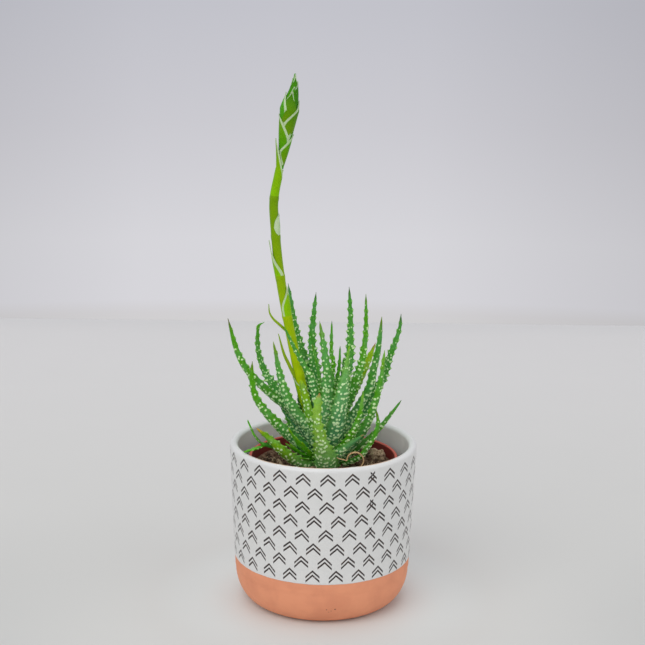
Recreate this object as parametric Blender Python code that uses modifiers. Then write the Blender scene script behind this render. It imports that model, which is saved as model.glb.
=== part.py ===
"""Potted aloe: a small rosette with its flower stalk, in a nursery pot inside a cover pot.

The origin is the centre of the cover pot's flat base, +Z up, the front at -Y.
Sizes below are in millimetres and become metres where a mesh is made.
"""

import math
import random

import bmesh
import bpy
import numpy as np
from mathutils import Matrix, Vector
from mathutils.bvhtree import BVHTree

MM = 0.001
CLEAR = 0.3
SHORT_EDGE = 0.02

# Cover pot
POT_HEIGHT = 95.0
POT_RIM_RADIUS = 54.1
POT_BAND_RADIUS = 51.5
POT_BAND_HEIGHT = 27.0
POT_FOOT_RADIUS = 37.0
POT_CORNER_HEIGHT = 20.0
POT_WALL = 4.6
POT_FLOOR = 5.0
POT_FLOOR_RADIUS = 41.0
POT_INNER_CORNER = 16.0
POT_STEPS = 48

# Nursery pot
CUP_HEIGHT = 81.0
CUP_RIM_RADIUS = 43.2
CUP_FOOT_RADIUS = 30.0
CUP_WALL = 1.2
CUP_LIP = 1.8
CUP_LIP_HEIGHT = 6.0
CUP_STEPS = 40
DRAIN_HOLES = 5
DRAIN_RADIUS = 4.0
DRAIN_CIRCLE = 17.0

# Soil and the short stem that carries the leaves
SOIL_TOP = 80.5
SOIL_RELIEF = 1.4
LUMPS = 11
LUMP_RADII = (1.6, 3.2)
LUMP_REACH = (15.5, 32.0)
LUMP_SQUASH = (1.15, 0.9, 0.75)
BIG_LUMP = (32, 12, 4.8)
STEM_RADIUS = 7.2
STEM_NECK = 3.6
STEM_SHOULDER = 88.0
STEM_FOOT = 62.0
STEM_TOP = 104.0

# Leaves
RING_STEP = 4.0
TOOTH = 0.7
TUBERCLE = 0.3
THICK_SHARE = 0.36
LEAST_THICK = 0.8
FACE_RISE = 0.18
FLANK_DEPTH = 0.72
FLANK_WIDTH = 0.30
TIP_WIDTH = 1.0
TAPER = 0.75
CUT_TIP_WIDTH = 3.0
CUT_TAPER = 1.0
FACE_TURN = 0.9
ROOT_SHARE = 0.65

# Flower stalk, from the stem to the head, and the head, with their radii
STALK = (
    (-1, 0, 88), (-6, 1, 103), (-10, 1, 115), (-17, 0, 146), (-25.4, 0, 189.5), (-29, 0, 223),
    (-29.2, 0, 236), (-26.8, 0, 248), (-25.9, 0, 251.9),
)
STALK_HEIGHTS = (94, 160, 235, 252)
STALK_RADII = (3.1, 2.75, 2.5, 1.8)
HEAD = ((-25.8, 0, 252.3), (-25, 0, 257.5), (-23, 0, 271), (-21, 0, 285), (-19.2, 0, 296), (-18, 0, 304.5))
HEAD_RADII = (1.5, 2.0, 3.6, 5.1, 3.2, 0.5)
HEAD_BRACTS = 12

# Bracts on the stalk: height of the root, side of the stalk, length, width, how far the tip stands off
STALK_BRACTS = (
    (116, 200, 18, 4.8, 0.8), (168, 300, 17, 4.0, 0.8), (191, 200, 22, 4.6, 1.4), (214, 330, 11, 3.0, 0.6),
    (237, 200, 30, 4.6, 3.3),
)

# Thin free bracts: width, and the points from inside the stalk to the tip
THIN_BRACTS = (
    (2.2, (-14.5, 0, 131), (-17, -2, 134), (-20.3, -3, 140.8), (-23.3, -3, 147.5), (-26.4, -3, 158.7)),
    (1.7, (-20.5, 0, 158.5), (-23.1, 0, 160.9), (-25.7, -1, 163.5), (-29.3, -1, 166.8), (-31.5, -1, 170.5),
     (-32, -1, 175.5)),
)

# A turn between one bract and the next in a spiral, in degrees
GOLDEN_ANGLE = 137.5

# Each leaf: width and thickness grow from the width at its root, then the side of the stem that
# it leaves (degrees anticlockwise from +X, seen from above), the height of its root, and the
# points that its middle line passes on the way to the tip.
LEAVES = {
    "leaf_front_cut": (15.0, 268, 79, (2, -14, 85.5), (-1.4, -22, 104.8), (-2.7, -24, 118), (-2.3, -24, 129.6)),
    "leaf_broad_front": (13.5, 300, 88, (7, -12, 107), (11, -15, 132), (14, -10, 155)),
    "leaf_left_front": (11.0, 200, 82, (-14, -7, 96), (-24.5, -11, 106.5), (-36.5, -13, 120.5),
                        (-40.8, -13, 133), (-40.6, -14, 145)),
    "leaf_low_orange": (12.5, 215, 79, (-11, -9, 84), (-19, -13, 89.5), (-25.5, -16, 95.8), (-31.5, -16, 101.4),
                        (-38, -17, 106.8)),
    "leaf_left_mid": (11.0, 190, 97, (-16.5, -3, 114), (-23.5, -4, 129), (-29.2, -3, 154)),
    "leaf_right_bright": (9.0, 315, 84, (14, -14, 100), (20, -18, 115), (22, -18, 129)),
    "leaf_right_front": (8.4, 335, 82, (22, -7, 102), (31, -9, 128), (34, -8, 151)),
    "leaf_before_stalk": (8.0, 215, 95, (-7, -6, 110), (-9, -6, 119), (-12, -5, 131)),
    "leaf_over_stalk": (7.4, 255, 98, (-6.5, -7, 130), (-11.6, -8, 141.8), (-16.8, -8, 151), (-22.9, -8, 164)),
    "leaf_front_mid": (9.8, 275, 96, (2, -7, 128), (1, -8, 143), (-3, -6, 167)),
    "leaf_far_left": (10.0, 175, 90, (-17, 1, 111.5), (-29, 1, 121.5), (-43, 1, 135.5), (-49.8, 1, 147.5),
                      (-55.3, 2, 166)),
    "leaf_hooked": (9.4, 155, 95, (-28.5, 10, 124.5), (-37, 14, 143.5), (-38.3, 17, 157.5), (-35.4, 19, 160.5)),
    "leaf_tall_right": (9.4, 50, 98, (13.4, 8, 136), (14.9, 13, 160), (13.8, 16, 182.5)),
    "leaf_tall_slim": (8.5, 20, 96, (18.5, 3, 131), (23.3, 6, 154), (23.3, 8, 180)),
    "leaf_right_mid": (11.0, 8, 91, (24, 4, 122.5), (28, 4, 136.5), (30.9, 4, 151), (32.5, 5, 167.5)),
    "leaf_right_tall": (8.2, 18, 87, (30.4, 11, 122), (39, 12, 145), (44.6, 13, 167.5)),
    "leaf_tall_left": (9.2, 105, 99, (-5.4, 7, 135), (-7.4, 11, 153), (-5.3, 14, 179.5)),
    "leaf_behind_stalk": (8.8, 140, 98, (-10.6, 9, 137), (-16.5, 13, 157), (-21.5, 17, 184)),
    "leaf_behind_left": (8.0, 165, 96, (-13, 5, 115), (-14.5, 6, 133)),
    "leaf_low_right": (6.4, 355, 79, (27, 1, 97), (36.2, 0, 108), (44.4, -2, 120)),
    "leaf_low_curved": (6.4, 332, 79, (19.5, -11, 88), (24.3, -13, 94), (28.8, -13.5, 101.5), (30.8, -13, 109),
                        (29.9, -13, 117)),
    "leaf_low_broad": (13.0, 300, 79, (6, -11.5, 88.5), (12.3, -14, 95), (22.6, -16, 103.5)),
    "leaf_low_blue": (7.0, 180, 82, (-16, 3, 102), (-25, 5, 113)),
    "leaf_yellowed": (5.0, 40, 90, (22, 16, 130), (30, 26, 147)),
    "leaf_behind_tall": (8.0, 65, 93, (12, 17, 121), (11, 21, 139)),
    "leaf_young_mid": (4.6, 90, 104, (5, 4, 137), (4, 6, 146), (4, 8, 164)),
    "leaf_young_right": (4.6, 45, 104, (8, 6, 133), (9, 9, 149)),
    "leaf_young_left": (4.2, 160, 104, (-3, 2, 132), (-7, 4, 151)),
}

# Two offsets: the root of each, and the tips of its blades with their widths
NEAR_OFFSET = ((-4, -4, 86), 3.8, (
    (-20, -16, 107), (-19, -17, 98), (-21.5, -13, 97), (-12.3, -18, 99.6), (-8.5, -18, 95), (-13.3, -18, 90),
    (-16, -17, 102.5),
))
LEFT_OFFSET_STEM = ((-10, -5, 70), (-11, -6, 80), (-17, -8.5, 88), (-26, -11, 93), (-35, -15, 97))
LEFT_OFFSET_RADIUS = 1.1
LEFT_OFFSET = ((-34, -15, 96), 2.6, ((-43, -15, 111), (-45, -25, 97)))

# A dried leaf: a thin strand that comes out between the leaves and ends in a ring
DRY_RADIUS = 0.6
DRY_STRAND = ((3, -5, 90), (8, -16, 89.4), (11.5, -16.5, 88.6))
DRY_RING = (18.2, -16, 88)
DRY_RING_RADIUS = 4.8

# The leaves at the back lie lower: side of the stem, reach and height of the tip.
BACK_LEAVES = (
    (38, 42, 112), (62, 38, 120), (82, 44, 108), (100, 40, 124), (122, 44, 110), (142, 36, 118),
)


def clear_scene():
    for item in list(bpy.data.objects):
        bpy.data.objects.remove(item, do_unlink=True)


def collection(name):
    group = bpy.data.collections.new(name)
    bpy.context.scene.collection.children.link(group)
    return group


def material(name, colour, roughness):
    mat = bpy.data.materials.new(name)
    mat.use_nodes = True
    shader = mat.node_tree.nodes["Principled BSDF"]
    shader.inputs["Base Color"].default_value = (*colour, 1.0)
    shader.inputs["Roughness"].default_value = roughness
    shader.inputs["Metallic"].default_value = 0.0
    return mat


def add(name, points, faces, group, mat):
    """A mesh object from points in millimetres."""
    mesh = bpy.data.meshes.new(name)
    mesh.from_pydata([Vector(p) * MM for p in points], [], faces)
    mesh.materials.append(mat)
    item = bpy.data.objects.new(name, mesh)
    group.objects.link(item)
    return item


def apply_modifiers(item):
    """Replace the object's mesh by its evaluated mesh."""
    bpy.context.view_layer.update()
    graph = bpy.context.evaluated_depsgraph_get()
    mesh = bpy.data.meshes.new_from_object(item.evaluated_get(graph))
    item.modifiers.clear()
    item.data = mesh
    return item


def turned(name, profile, steps, group, mat):
    """Turn a profile of (radius, height) that starts on the axis and ends on it."""
    edges = [(i, i + 1) for i in range(len(profile) - 1)]
    mesh = bpy.data.meshes.new(name)
    mesh.from_pydata([(r * MM, 0.0, z * MM) for r, z in profile], edges, [])
    mesh.materials.append(mat)
    item = bpy.data.objects.new(name, mesh)
    group.objects.link(item)
    screw = item.modifiers.new("turn", "SCREW")
    screw.steps = steps
    screw.render_steps = steps
    screw.use_merge_vertices = True
    screw.merge_threshold = 0.00001
    return item


def boolean(item, others, operation, solver="EXACT"):
    """Cut or join with a list of objects at once, which are then removed."""
    tools = collection("tools")
    for other in others:
        for user in list(other.users_collection):
            user.objects.unlink(other)
        tools.objects.link(other)
    step = item.modifiers.new(operation.lower(), "BOOLEAN")
    step.operation = operation
    step.operand_type = "COLLECTION"
    step.collection = tools
    step.solver = solver
    apply_modifiers(item)
    for other in list(tools.objects):
        bpy.data.objects.remove(other, do_unlink=True)
    bpy.data.collections.remove(tools)
    return item


def keep_largest(item):
    """Drop the loose scraps that a cut leaves, and the short edges along it."""
    work = bmesh.new()
    work.from_mesh(item.data)
    bmesh.ops.triangulate(work, faces=work.faces)
    bmesh.ops.dissolve_degenerate(work, edges=work.edges, dist=SHORT_EDGE * MM)
    left = set(work.faces)
    bodies = []
    while left:
        body = []
        front = [left.pop()]
        while front:
            face = front.pop()
            body.append(face)
            for edge in face.edges:
                if len(edge.link_faces) != 2:
                    continue
                for other in edge.link_faces:
                    if other in left:
                        left.discard(other)
                        front.append(other)
        bodies.append(body)
    bodies.sort(key=lambda body: sum(face.calc_area() for face in body))
    for body in bodies[:-1]:
        bmesh.ops.delete(work, geom=body, context="FACES")
    work.to_mesh(item.data)
    work.free()


def arc(centre, radius, start, end, count):
    """Points of an arc from one angle to another, in degrees."""
    angles = [math.radians(start + (end - start) * i / count) for i in range(count + 1)]
    return [(centre[0] + radius[0] * math.cos(a), centre[1] + radius[1] * math.sin(a)) for a in angles]


def cover_pot(group):
    mat = material("glazed ceramic", (0.80, 0.79, 0.76), 0.35)
    inside = POT_RIM_RADIUS - POT_WALL
    lip = POT_WALL / 2
    rim = arc((inside + lip, POT_HEIGHT - lip), (lip, lip), 180, 0, 4)
    corner_width = POT_BAND_RADIUS - 0.5 - POT_FOOT_RADIUS
    corner = arc((POT_FOOT_RADIUS, POT_CORNER_HEIGHT), (corner_width, POT_CORNER_HEIGHT), 0, -90, 6)
    profile = [(0.0, POT_FLOOR), (POT_FLOOR_RADIUS, POT_FLOOR), (POT_BAND_RADIUS - POT_WALL, POT_INNER_CORNER)]
    profile += rim + [(POT_BAND_RADIUS, POT_BAND_HEIGHT)] + corner + [(0.0, 0.0)]
    return turned("cover_pot", profile, POT_STEPS, group, mat)


def cup_radius(height):
    """Outer radius of the nursery pot's tapered wall at a height above its floor."""
    share = height / CUP_HEIGHT
    return CUP_FOOT_RADIUS + (CUP_RIM_RADIUS - CUP_LIP + CUP_WALL - CUP_FOOT_RADIUS) * share


def nursery_pot(group):
    mat = material("red-brown plastic", (0.45, 0.12, 0.08), 0.45)
    bottom = POT_FLOOR + CLEAR
    top = bottom + CUP_HEIGHT
    band = top - CUP_LIP_HEIGHT
    band_radius = cup_radius(band - bottom)
    profile = [
        (0.0, bottom + CUP_WALL),
        (CUP_FOOT_RADIUS - CUP_WALL, bottom + CUP_WALL),
        (band_radius - CUP_WALL, band),
        (CUP_RIM_RADIUS - CUP_LIP, top - 1.0),
        (CUP_RIM_RADIUS - CUP_LIP + 0.5, top),
        (CUP_RIM_RADIUS - 0.4, top),
        (CUP_RIM_RADIUS, top - 0.8),
        (CUP_RIM_RADIUS - 0.3, band),
        (band_radius, band - 0.8),
        (CUP_FOOT_RADIUS, bottom),
        (0.0, bottom),
    ]
    item = apply_modifiers(turned("nursery_pot", profile, CUP_STEPS, group, mat))
    drills = []
    for i in range(DRAIN_HOLES):
        angle = math.tau * (i + 0.25) / DRAIN_HOLES
        place = (DRAIN_CIRCLE * math.cos(angle), DRAIN_CIRCLE * math.sin(angle))
        drills.append(cylinder("drill", place, bottom - 2.0, bottom + CUP_WALL + 2.0, DRAIN_RADIUS, 10, group))
    boolean(item, drills, "DIFFERENCE")
    keep_largest(item)


def cylinder(name, place, low, high, radius, sides, group):
    """A round bar on a vertical axis."""
    work = bmesh.new()
    bmesh.ops.create_cone(work, cap_ends=True, segments=sides, radius1=radius * MM, radius2=radius * MM,
                          depth=(high - low) * MM)
    bmesh.ops.translate(work, verts=work.verts, vec=Vector((*place, (low + high) / 2)) * MM)
    mesh = bpy.data.meshes.new(name)
    work.to_mesh(mesh)
    work.free()
    item = bpy.data.objects.new(name, mesh)
    group.objects.link(item)
    return item


def stem(group, grow=0.0):
    """The short stem: a bar in the soil with a cone above it."""
    mat = material("pale stem", (0.30, 0.36, 0.14), 0.6)
    profile = [
        (0.0, STEM_TOP + grow),
        (STEM_NECK + grow, STEM_TOP - 1.0 + grow),
        (STEM_RADIUS + grow, STEM_SHOULDER),
        (STEM_RADIUS + grow, STEM_FOOT - grow),
        (0.0, STEM_FOOT - grow),
    ]
    return turned("stem", profile, 12, group, mat)


def stem_radius(height):
    """Radius of the stem where a leaf leaves it."""
    return float(np.interp(height, (STEM_SHOULDER, STEM_TOP), (STEM_RADIUS, STEM_NECK)))


def relief(x, y):
    """Height of the soil's crumbs over its mean level, from crossing waves."""
    coarse = math.sin(0.37 * x + 1.1) * math.cos(0.33 * y - 0.4)
    fine = math.sin(0.9 * x - 0.5 * y) * math.cos(0.7 * y + 0.6 * x + 2.0)
    return SOIL_RELIEF * (0.6 * coarse + 0.5 * fine)


def lump(x, y, radius, sides, group):
    """A crumb of bark or pumice, half sunk in the soil: a squashed ball, turned by its place."""
    work = bmesh.new()
    bmesh.ops.create_icosphere(work, subdivisions=sides, radius=radius * MM)
    bmesh.ops.scale(work, verts=work.verts, vec=LUMP_SQUASH)
    bmesh.ops.rotate(work, verts=work.verts, matrix=Matrix.Rotation(x + y, 3, "Z"))
    bmesh.ops.translate(work, verts=work.verts, vec=Vector((x, y, SOIL_TOP + relief(x, y))) * MM)
    mesh = bpy.data.meshes.new("lump")
    work.to_mesh(mesh)
    work.free()
    item = bpy.data.objects.new("lump", mesh)
    group.objects.link(item)
    return item


def lumps(group):
    """Crumbs spread over the soil by a spiral, with seeded sizes."""
    draw = random.Random(3)
    made = [lump(*BIG_LUMP, 2, group)]
    for i in range(LUMPS):
        angle = math.radians(GOLDEN_ANGLE * i)
        reach = np.interp(i, (0, LUMPS - 1), LUMP_REACH)
        made.append(lump(reach * math.cos(angle), reach * math.sin(angle), draw.uniform(*LUMP_RADII), 1, group))
    return made


def soil(group):
    mat = material("potting soil", (0.13, 0.08, 0.05), 0.95)
    bottom = POT_FLOOR + CLEAR
    floor = bottom + CUP_WALL + CLEAR
    inset = CUP_WALL + CLEAR
    edge = cup_radius(SOIL_TOP - bottom) - inset
    rings = [edge * share for share in (0.12, 0.26, 0.4, 0.54, 0.68, 0.82, 0.93)]
    profile = [(0.0, SOIL_TOP)] + [(r, SOIL_TOP) for r in rings]
    profile += [(edge, SOIL_TOP - 0.6), (cup_radius(CUP_WALL) - inset - CLEAR, floor), (0.0, floor)]
    item = apply_modifiers(turned("soil", profile, 36, group, mat))
    for vert in item.data.vertices:
        if vert.co.z > (SOIL_TOP - 0.3) * MM:
            vert.co.z += relief(vert.co.x / MM, vert.co.y / MM) * MM
    boolean(item, lumps(group), "UNION")
    keep_largest(item)
    return item


def through(points, count):
    """A smooth line through the points, as a chain of Catmull-Rom cubics, at even steps."""
    p = np.array(points, float)
    p = np.vstack([2 * p[0] - p[1], p, 2 * p[-1] - p[-2]])
    line = []
    for a, b, c, d in zip(p[:-3], p[1:-2], p[2:-1], p[3:]):
        t = np.linspace(0, 1, 24, endpoint=False)[:, None]
        line.append(b + 0.5 * t * (c - a + t * (2 * a - 5 * b + 4 * c - d + t * (3 * (b - c) + d - a))))
    line = np.vstack(line + [p[-2:-1]])
    run = np.concatenate([[0], np.cumsum(np.linalg.norm(np.diff(line, axis=0), axis=1))])
    even = np.linspace(0, run[-1], count)
    return np.stack([np.interp(even, run, line[:, k]) for k in range(3)], axis=1), run[-1]


def frames(line, inward):
    """Unit tangents, the normals of the upper face and the sideways vectors along a line."""
    tangent = np.gradient(line, axis=0)
    tangent /= np.linalg.norm(tangent, axis=1)[:, None]
    normal = inward - tangent * (tangent @ inward)[:, None]
    normal /= np.linalg.norm(normal, axis=1)[:, None]
    return tangent, normal, np.cross(tangent, normal)


def loft(name, line, tangent, ring, tip, group, mat, grow):
    """Skin the rings of offsets round a middle line, with a point at the tip and a flat root."""
    count = len(line)
    sides = len(ring)
    points = np.stack([line + offset for offset in ring], axis=1).reshape(-1, 3)
    root = line[0] - tangent[0] * grow
    points = np.vstack([points, root, line[-1] + tangent[-1] * (tip + grow)])
    first = count * sides
    faces = []
    for k in range(sides):
        m = (k + 1) % sides
        for i in range(count - 1):
            faces.append((i * sides + k, (i + 1) * sides + k, (i + 1) * sides + m, i * sides + m))
        faces.append((k, m, first))
        faces.append(((count - 1) * sides + m, (count - 1) * sides + k, first + 1))
    return add(name, points, faces, group, mat)


def blade(name, route, width, thick, inward, count, group, mat, grow=0.0):
    """A plain small blade: flat above, round below, widest at a third of its length."""
    line, _ = through(route, count)
    inward = np.array(inward, float)
    tangent, normal, across = frames(line, inward / np.linalg.norm(inward))
    share = np.linspace(0, 1, count)
    wide = 0.7 + (width - 0.7) * np.sin(np.pi * (0.18 + 0.82 * share)) ** 0.8
    deep = np.full(count, thick / 2)
    ring = [
        across * (wide / 2 + grow)[:, None],
        normal * (deep + grow)[:, None],
        -across * (wide / 2 + grow)[:, None],
        -normal * (deep + grow)[:, None],
    ]
    return loft(name, line, tangent, ring, 0.8, group, mat, grow)


def tube(name, points, radii, sides, group, mat):
    """A bar along points, from a curve with filled caps, as a closed mesh."""
    curve = bpy.data.curves.new(name, "CURVE")
    curve.dimensions = "3D"
    curve.bevel_depth = MM
    curve.bevel_resolution = sides // 2 - 2
    curve.use_fill_caps = True
    spline = curve.splines.new("POLY")
    spline.points.add(len(points) - 1)
    for knot, point, radius in zip(spline.points, points, radii):
        knot.co = (*(Vector(point) * MM), 1.0)
        knot.radius = radius
    guide = bpy.data.objects.new(name, curve)
    group.objects.link(guide)
    bpy.context.view_layer.update()
    graph = bpy.context.evaluated_depsgraph_get()
    mesh = bpy.data.meshes.new_from_object(guide.evaluated_get(graph))
    bpy.data.objects.remove(guide, do_unlink=True)
    work = bmesh.new()
    work.from_mesh(mesh)
    bmesh.ops.remove_doubles(work, verts=work.verts, dist=0.000001)
    bmesh.ops.recalc_face_normals(work, faces=work.faces)
    work.to_mesh(mesh)
    work.free()
    mesh.materials.clear()
    mesh.materials.append(mat)
    item = bpy.data.objects.new(name, mesh)
    group.objects.link(item)
    return item


def leaf_width(share, width, end, taper):
    """Width at a share of the length: full near the root, then a nearly straight taper."""
    clasp = 0.62 + 0.38 * np.clip(share / 0.22, 0, 1)
    return end + (width - end) * clasp * (1 - share) ** taper


def facing(out):
    """How far a leaf at the side turns its face to the back, or one behind to the front."""
    return abs(out[0]) * (FACE_TURN if out[1] < 0.25 else -FACE_TURN)


def leaf(name, row, group, mat, grow=0.0):
    """Loft one leaf along its middle line; six points a ring, teeth and tubercles by turns."""
    width, side, foot, *route = row
    angle = math.radians(side)
    out = np.array([math.cos(angle), math.sin(angle), 0.0])
    root = np.array([0.0, 0.0, foot]) + out * stem_radius(foot) * ROOT_SHARE
    _, length = through([root] + route, 3)
    count = 2 * round(length / RING_STEP / 2) + 1
    line, _ = through([root] + route, count)
    inward = np.array([-out[0], -out[1] + facing(out), 0.8])
    tangent, normal, across = frames(line, inward / np.linalg.norm(inward))
    share = np.linspace(0, 1, count)
    cut = row == LEAVES["leaf_front_cut"]
    end, taper = (CUT_TIP_WIDTH, CUT_TAPER) if cut else (TIP_WIDTH, TAPER)
    wide = leaf_width(share, width, end, taper)
    thick = np.maximum(wide * THICK_SHARE, LEAST_THICK) + grow
    fade = np.minimum(1.0, wide / 4.0)
    odd = np.arange(count) % 2
    bump = TUBERCLE * fade
    edge = across * (wide / 2 + TOOTH * odd * fade + grow)[:, None]
    flank = across * (FLANK_WIDTH * wide + grow)[:, None]
    below = normal * (FLANK_DEPTH * thick + bump * (1 - odd))[:, None]
    keel = normal * (thick + bump * odd)[:, None]
    ring = [edge, normal * (FACE_RISE * thick + grow)[:, None], -edge, -flank - below, -keel, flank - below]
    return loft(name, line, tangent, ring, wide[-1] * 0.9, group, mat, grow)


def tree_of(item):
    mesh = item.data
    return BVHTree.FromPolygons([v.co for v in mesh.vertices], [tuple(p.vertices) for p in mesh.polygons])


def back_row(side, reach, height):
    """A low leaf at the back: it leaves the stem flat and turns up towards its tip."""
    angle = math.radians(side)
    out = (math.cos(angle), math.sin(angle))
    middle = (0.58 * reach * out[0], 0.58 * reach * out[1], 0.5 * (84 + height) - 4)
    tip = (reach * out[0], reach * out[1], height)
    return (8.6, side, 82 + (side % 4) * 2, middle, tip)


def trimmed(item, core, others, group):
    """Cut a leaf where it would enter the stem or the grown shell of an earlier leaf."""
    tree = tree_of(item)
    cutters = [core]
    for other in others:
        if tree.overlap(tree_of(other)):
            twin = bpy.data.objects.new("shell", other.data.copy())
            group.objects.link(twin)
            cutters.append(twin)
    boolean(item, cutters, "DIFFERENCE", "MANIFOLD")
    keep_largest(item)


def stalk_point(height):
    """The middle of the stalk, or above it of the head, at a height."""
    line, _ = through(STALK + HEAD[1:], 300)
    return np.array([np.interp(height, line[:, 2], line[:, k]) for k in range(3)])


def stalk_bract(number, row, group, mat):
    """A bract that clasps the stalk at its root and stands off a little at its tip."""
    height, side, length, width, stand = row
    angle = math.radians(side)
    out = np.array([math.cos(angle), math.sin(angle), 0.0])
    route = []
    for share in (0.0, 0.35, 0.7, 1.0):
        middle = stalk_point(height + length * share)
        held = np.interp(middle[2], STALK_HEIGHTS, STALK_RADII) * (0.75 + 0.25 * share)
        route.append(middle + out * (held + stand * share ** 1.5))
    return blade(f"bract_{number}", route, width, 1.0, -out, 7, group, mat)


def flower_stalk(group, tools, grow=0.0):
    mat = material("yellow-green stalk", (0.30, 0.45, 0.03), 0.4)
    line, _ = through(STALK, 26)
    radii = np.interp(line[:, 2], STALK_HEIGHTS, STALK_RADII)
    item = tube("flower_stalk", line, radii + grow, 8, group, mat)
    if grow:
        return item
    bracts = [stalk_bract(i, row, tools, mat) for i, row in enumerate(STALK_BRACTS)]
    for width, *route in THIN_BRACTS:
        bracts.append(blade("thin_bract", route, width, 1.0, (1.0, 0.3, 0.5), 9, tools, mat))
    boolean(item, bracts, "UNION", "MANIFOLD")
    return item


def flower_head(group, tools):
    """A spindle of closed buds wrapped in pointed bracts that overlap up to the tip."""
    mat = material("green bracts", (0.16, 0.36, 0.04), 0.45)
    line, _ = through(HEAD, 13)
    heights = [p[2] for p in HEAD]
    radii = np.interp(line[:, 2], heights, HEAD_RADII)
    item = tube("flower_head", line, radii, 8, group, mat)
    bracts = []
    for i in range(HEAD_BRACTS):
        share = i / (HEAD_BRACTS - 1)
        angle = math.radians(200 + GOLDEN_ANGLE * i)
        out = np.array([math.cos(angle), math.sin(angle), 0.0])
        low = 256 + 30 * share
        route = []
        for step, stand in ((0, -0.6), (7, 0.7), (14, 1.0), (20 - 4 * share, 0.6)):
            height = low + step
            middle = np.array([np.interp(height, line[:, 2], line[:, k]) for k in range(3)])
            middle[2] = height
            route.append(middle + out * (np.interp(height, heights, HEAD_RADII) + stand))
        bracts.append(blade("bract", route, 6.4 - 2.0 * share, 0.9, -out, 6, tools, mat))
    boolean(item, bracts, "UNION", "MANIFOLD")
    keep_largest(item)


def offset_blades(name, offset, group, mat, grow=0.0):
    """The small blades of an offset, from one root and bending up to their tips."""
    root, width, tips = offset
    made = []
    for i, tip in enumerate(tips):
        knee = [root[0] + 0.55 * (tip[0] - root[0]), root[1] + 0.55 * (tip[1] - root[1]),
                root[2] + 0.4 * (tip[2] - root[2])]
        inward = (root[0] - tip[0], root[1] - tip[1], 12.0)
        made.append(blade(f"{name}_{i}", [root, knee, tip], width, 1.6, inward, 7, group, mat, grow))
    return made


def near_offset(group):
    mat = material("bright offset", (0.16, 0.42, 0.05), 0.5)
    item, *others = offset_blades("offset_near", NEAR_OFFSET, group, mat)
    item.name = "offset_near"
    return boolean(item, others, "UNION", "MANIFOLD")


def left_offset(group, tools, grow=0.0):
    mat = material("green offset", (0.12, 0.34, 0.06), 0.5)
    line, _ = through(LEFT_OFFSET_STEM, 10)
    line[0, 2] -= grow
    item = tube("offset_left", line, np.full(10, LEFT_OFFSET_RADIUS + grow), 8, group, mat)
    if grow:
        return item
    return boolean(item, offset_blades("tuft", LEFT_OFFSET, tools, mat), "UNION", "MANIFOLD")


def dry_leaf(group, grow=0.0):
    """The strand from the stem, then most of a turn before the foot of the curved leaf."""
    mat = material("dry leaf", (0.60, 0.42, 0.25), 0.8)
    x, y, z = DRY_RING
    points = list(DRY_STRAND)
    for degrees in range(180, -150, -30):
        angle = math.radians(degrees)
        points.append((x + DRY_RING_RADIUS * math.cos(angle), y, z + DRY_RING_RADIUS * math.sin(angle)))
    line, _ = through(points, 24)
    return tube("dry_leaf", line, np.full(24, DRY_RADIUS + grow), 6, group, mat)


def leaf_rows():
    rows = dict(LEAVES)
    for i, (side, reach, height) in enumerate(BACK_LEAVES):
        rows[f"leaf_back_{i + 1}"] = back_row(side, reach, height)
    return rows


def crown(group, tools, ground):
    """Everything that grows from the stem, each piece cut clear of those made before it.

    The soil is cut last: it closes round the stem and the feet of the low leaves.
    """
    mat = material("green leaf", (0.10, 0.30, 0.06), 0.5)
    more = CLEAR + 0.05
    shells = []
    trimmed(flower_stalk(group, tools), apply_modifiers(stem(tools, CLEAR)), shells, tools)
    shells.append(flower_stalk(tools, tools, more))
    left_offset(group, tools)
    shells.append(left_offset(tools, tools, more))
    trimmed(near_offset(group), apply_modifiers(stem(tools, CLEAR)), shells, tools)
    shells += offset_blades("shell", NEAR_OFFSET, tools, mat, more)
    trimmed(dry_leaf(group), apply_modifiers(stem(tools, CLEAR)), shells, tools)
    shells.append(dry_leaf(tools, more))
    for name, row in leaf_rows().items():
        item = leaf(name, row, group, mat)
        trimmed(item, apply_modifiers(stem(tools, CLEAR)), shells, tools)
        shells.append(leaf("shell", row, tools, mat, more))
    trimmed(ground, apply_modifiers(stem(tools, CLEAR)), shells, tools)
    for shell in shells:
        bpy.data.objects.remove(shell, do_unlink=True)


def main():
    clear_scene()
    group = collection("potted_aloe")
    tools = collection("cutters")
    cover_pot(group)
    nursery_pot(group)
    ground = soil(group)
    stem(group)
    crown(group, tools, ground)
    flower_head(group, tools)


main()
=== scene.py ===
# %% [markdown]
# # A small aloe in a chevron pot
# A rosette of toothed leaves and one tall flower stalk stand in a nursery pot, which stands in
# a glazed cover pot. The construction is already there as a fixed frame of solids at their real
# size. This file dresses them: each solid that needs a finer surface is replaced by one worked
# out with numpy in the same place, and each surface gets a finish built from shader nodes.
# Sizes are in millimetres, with the origin at the centre of the pot's base and the front at -Y.

# %% Load the frame
import math

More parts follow.
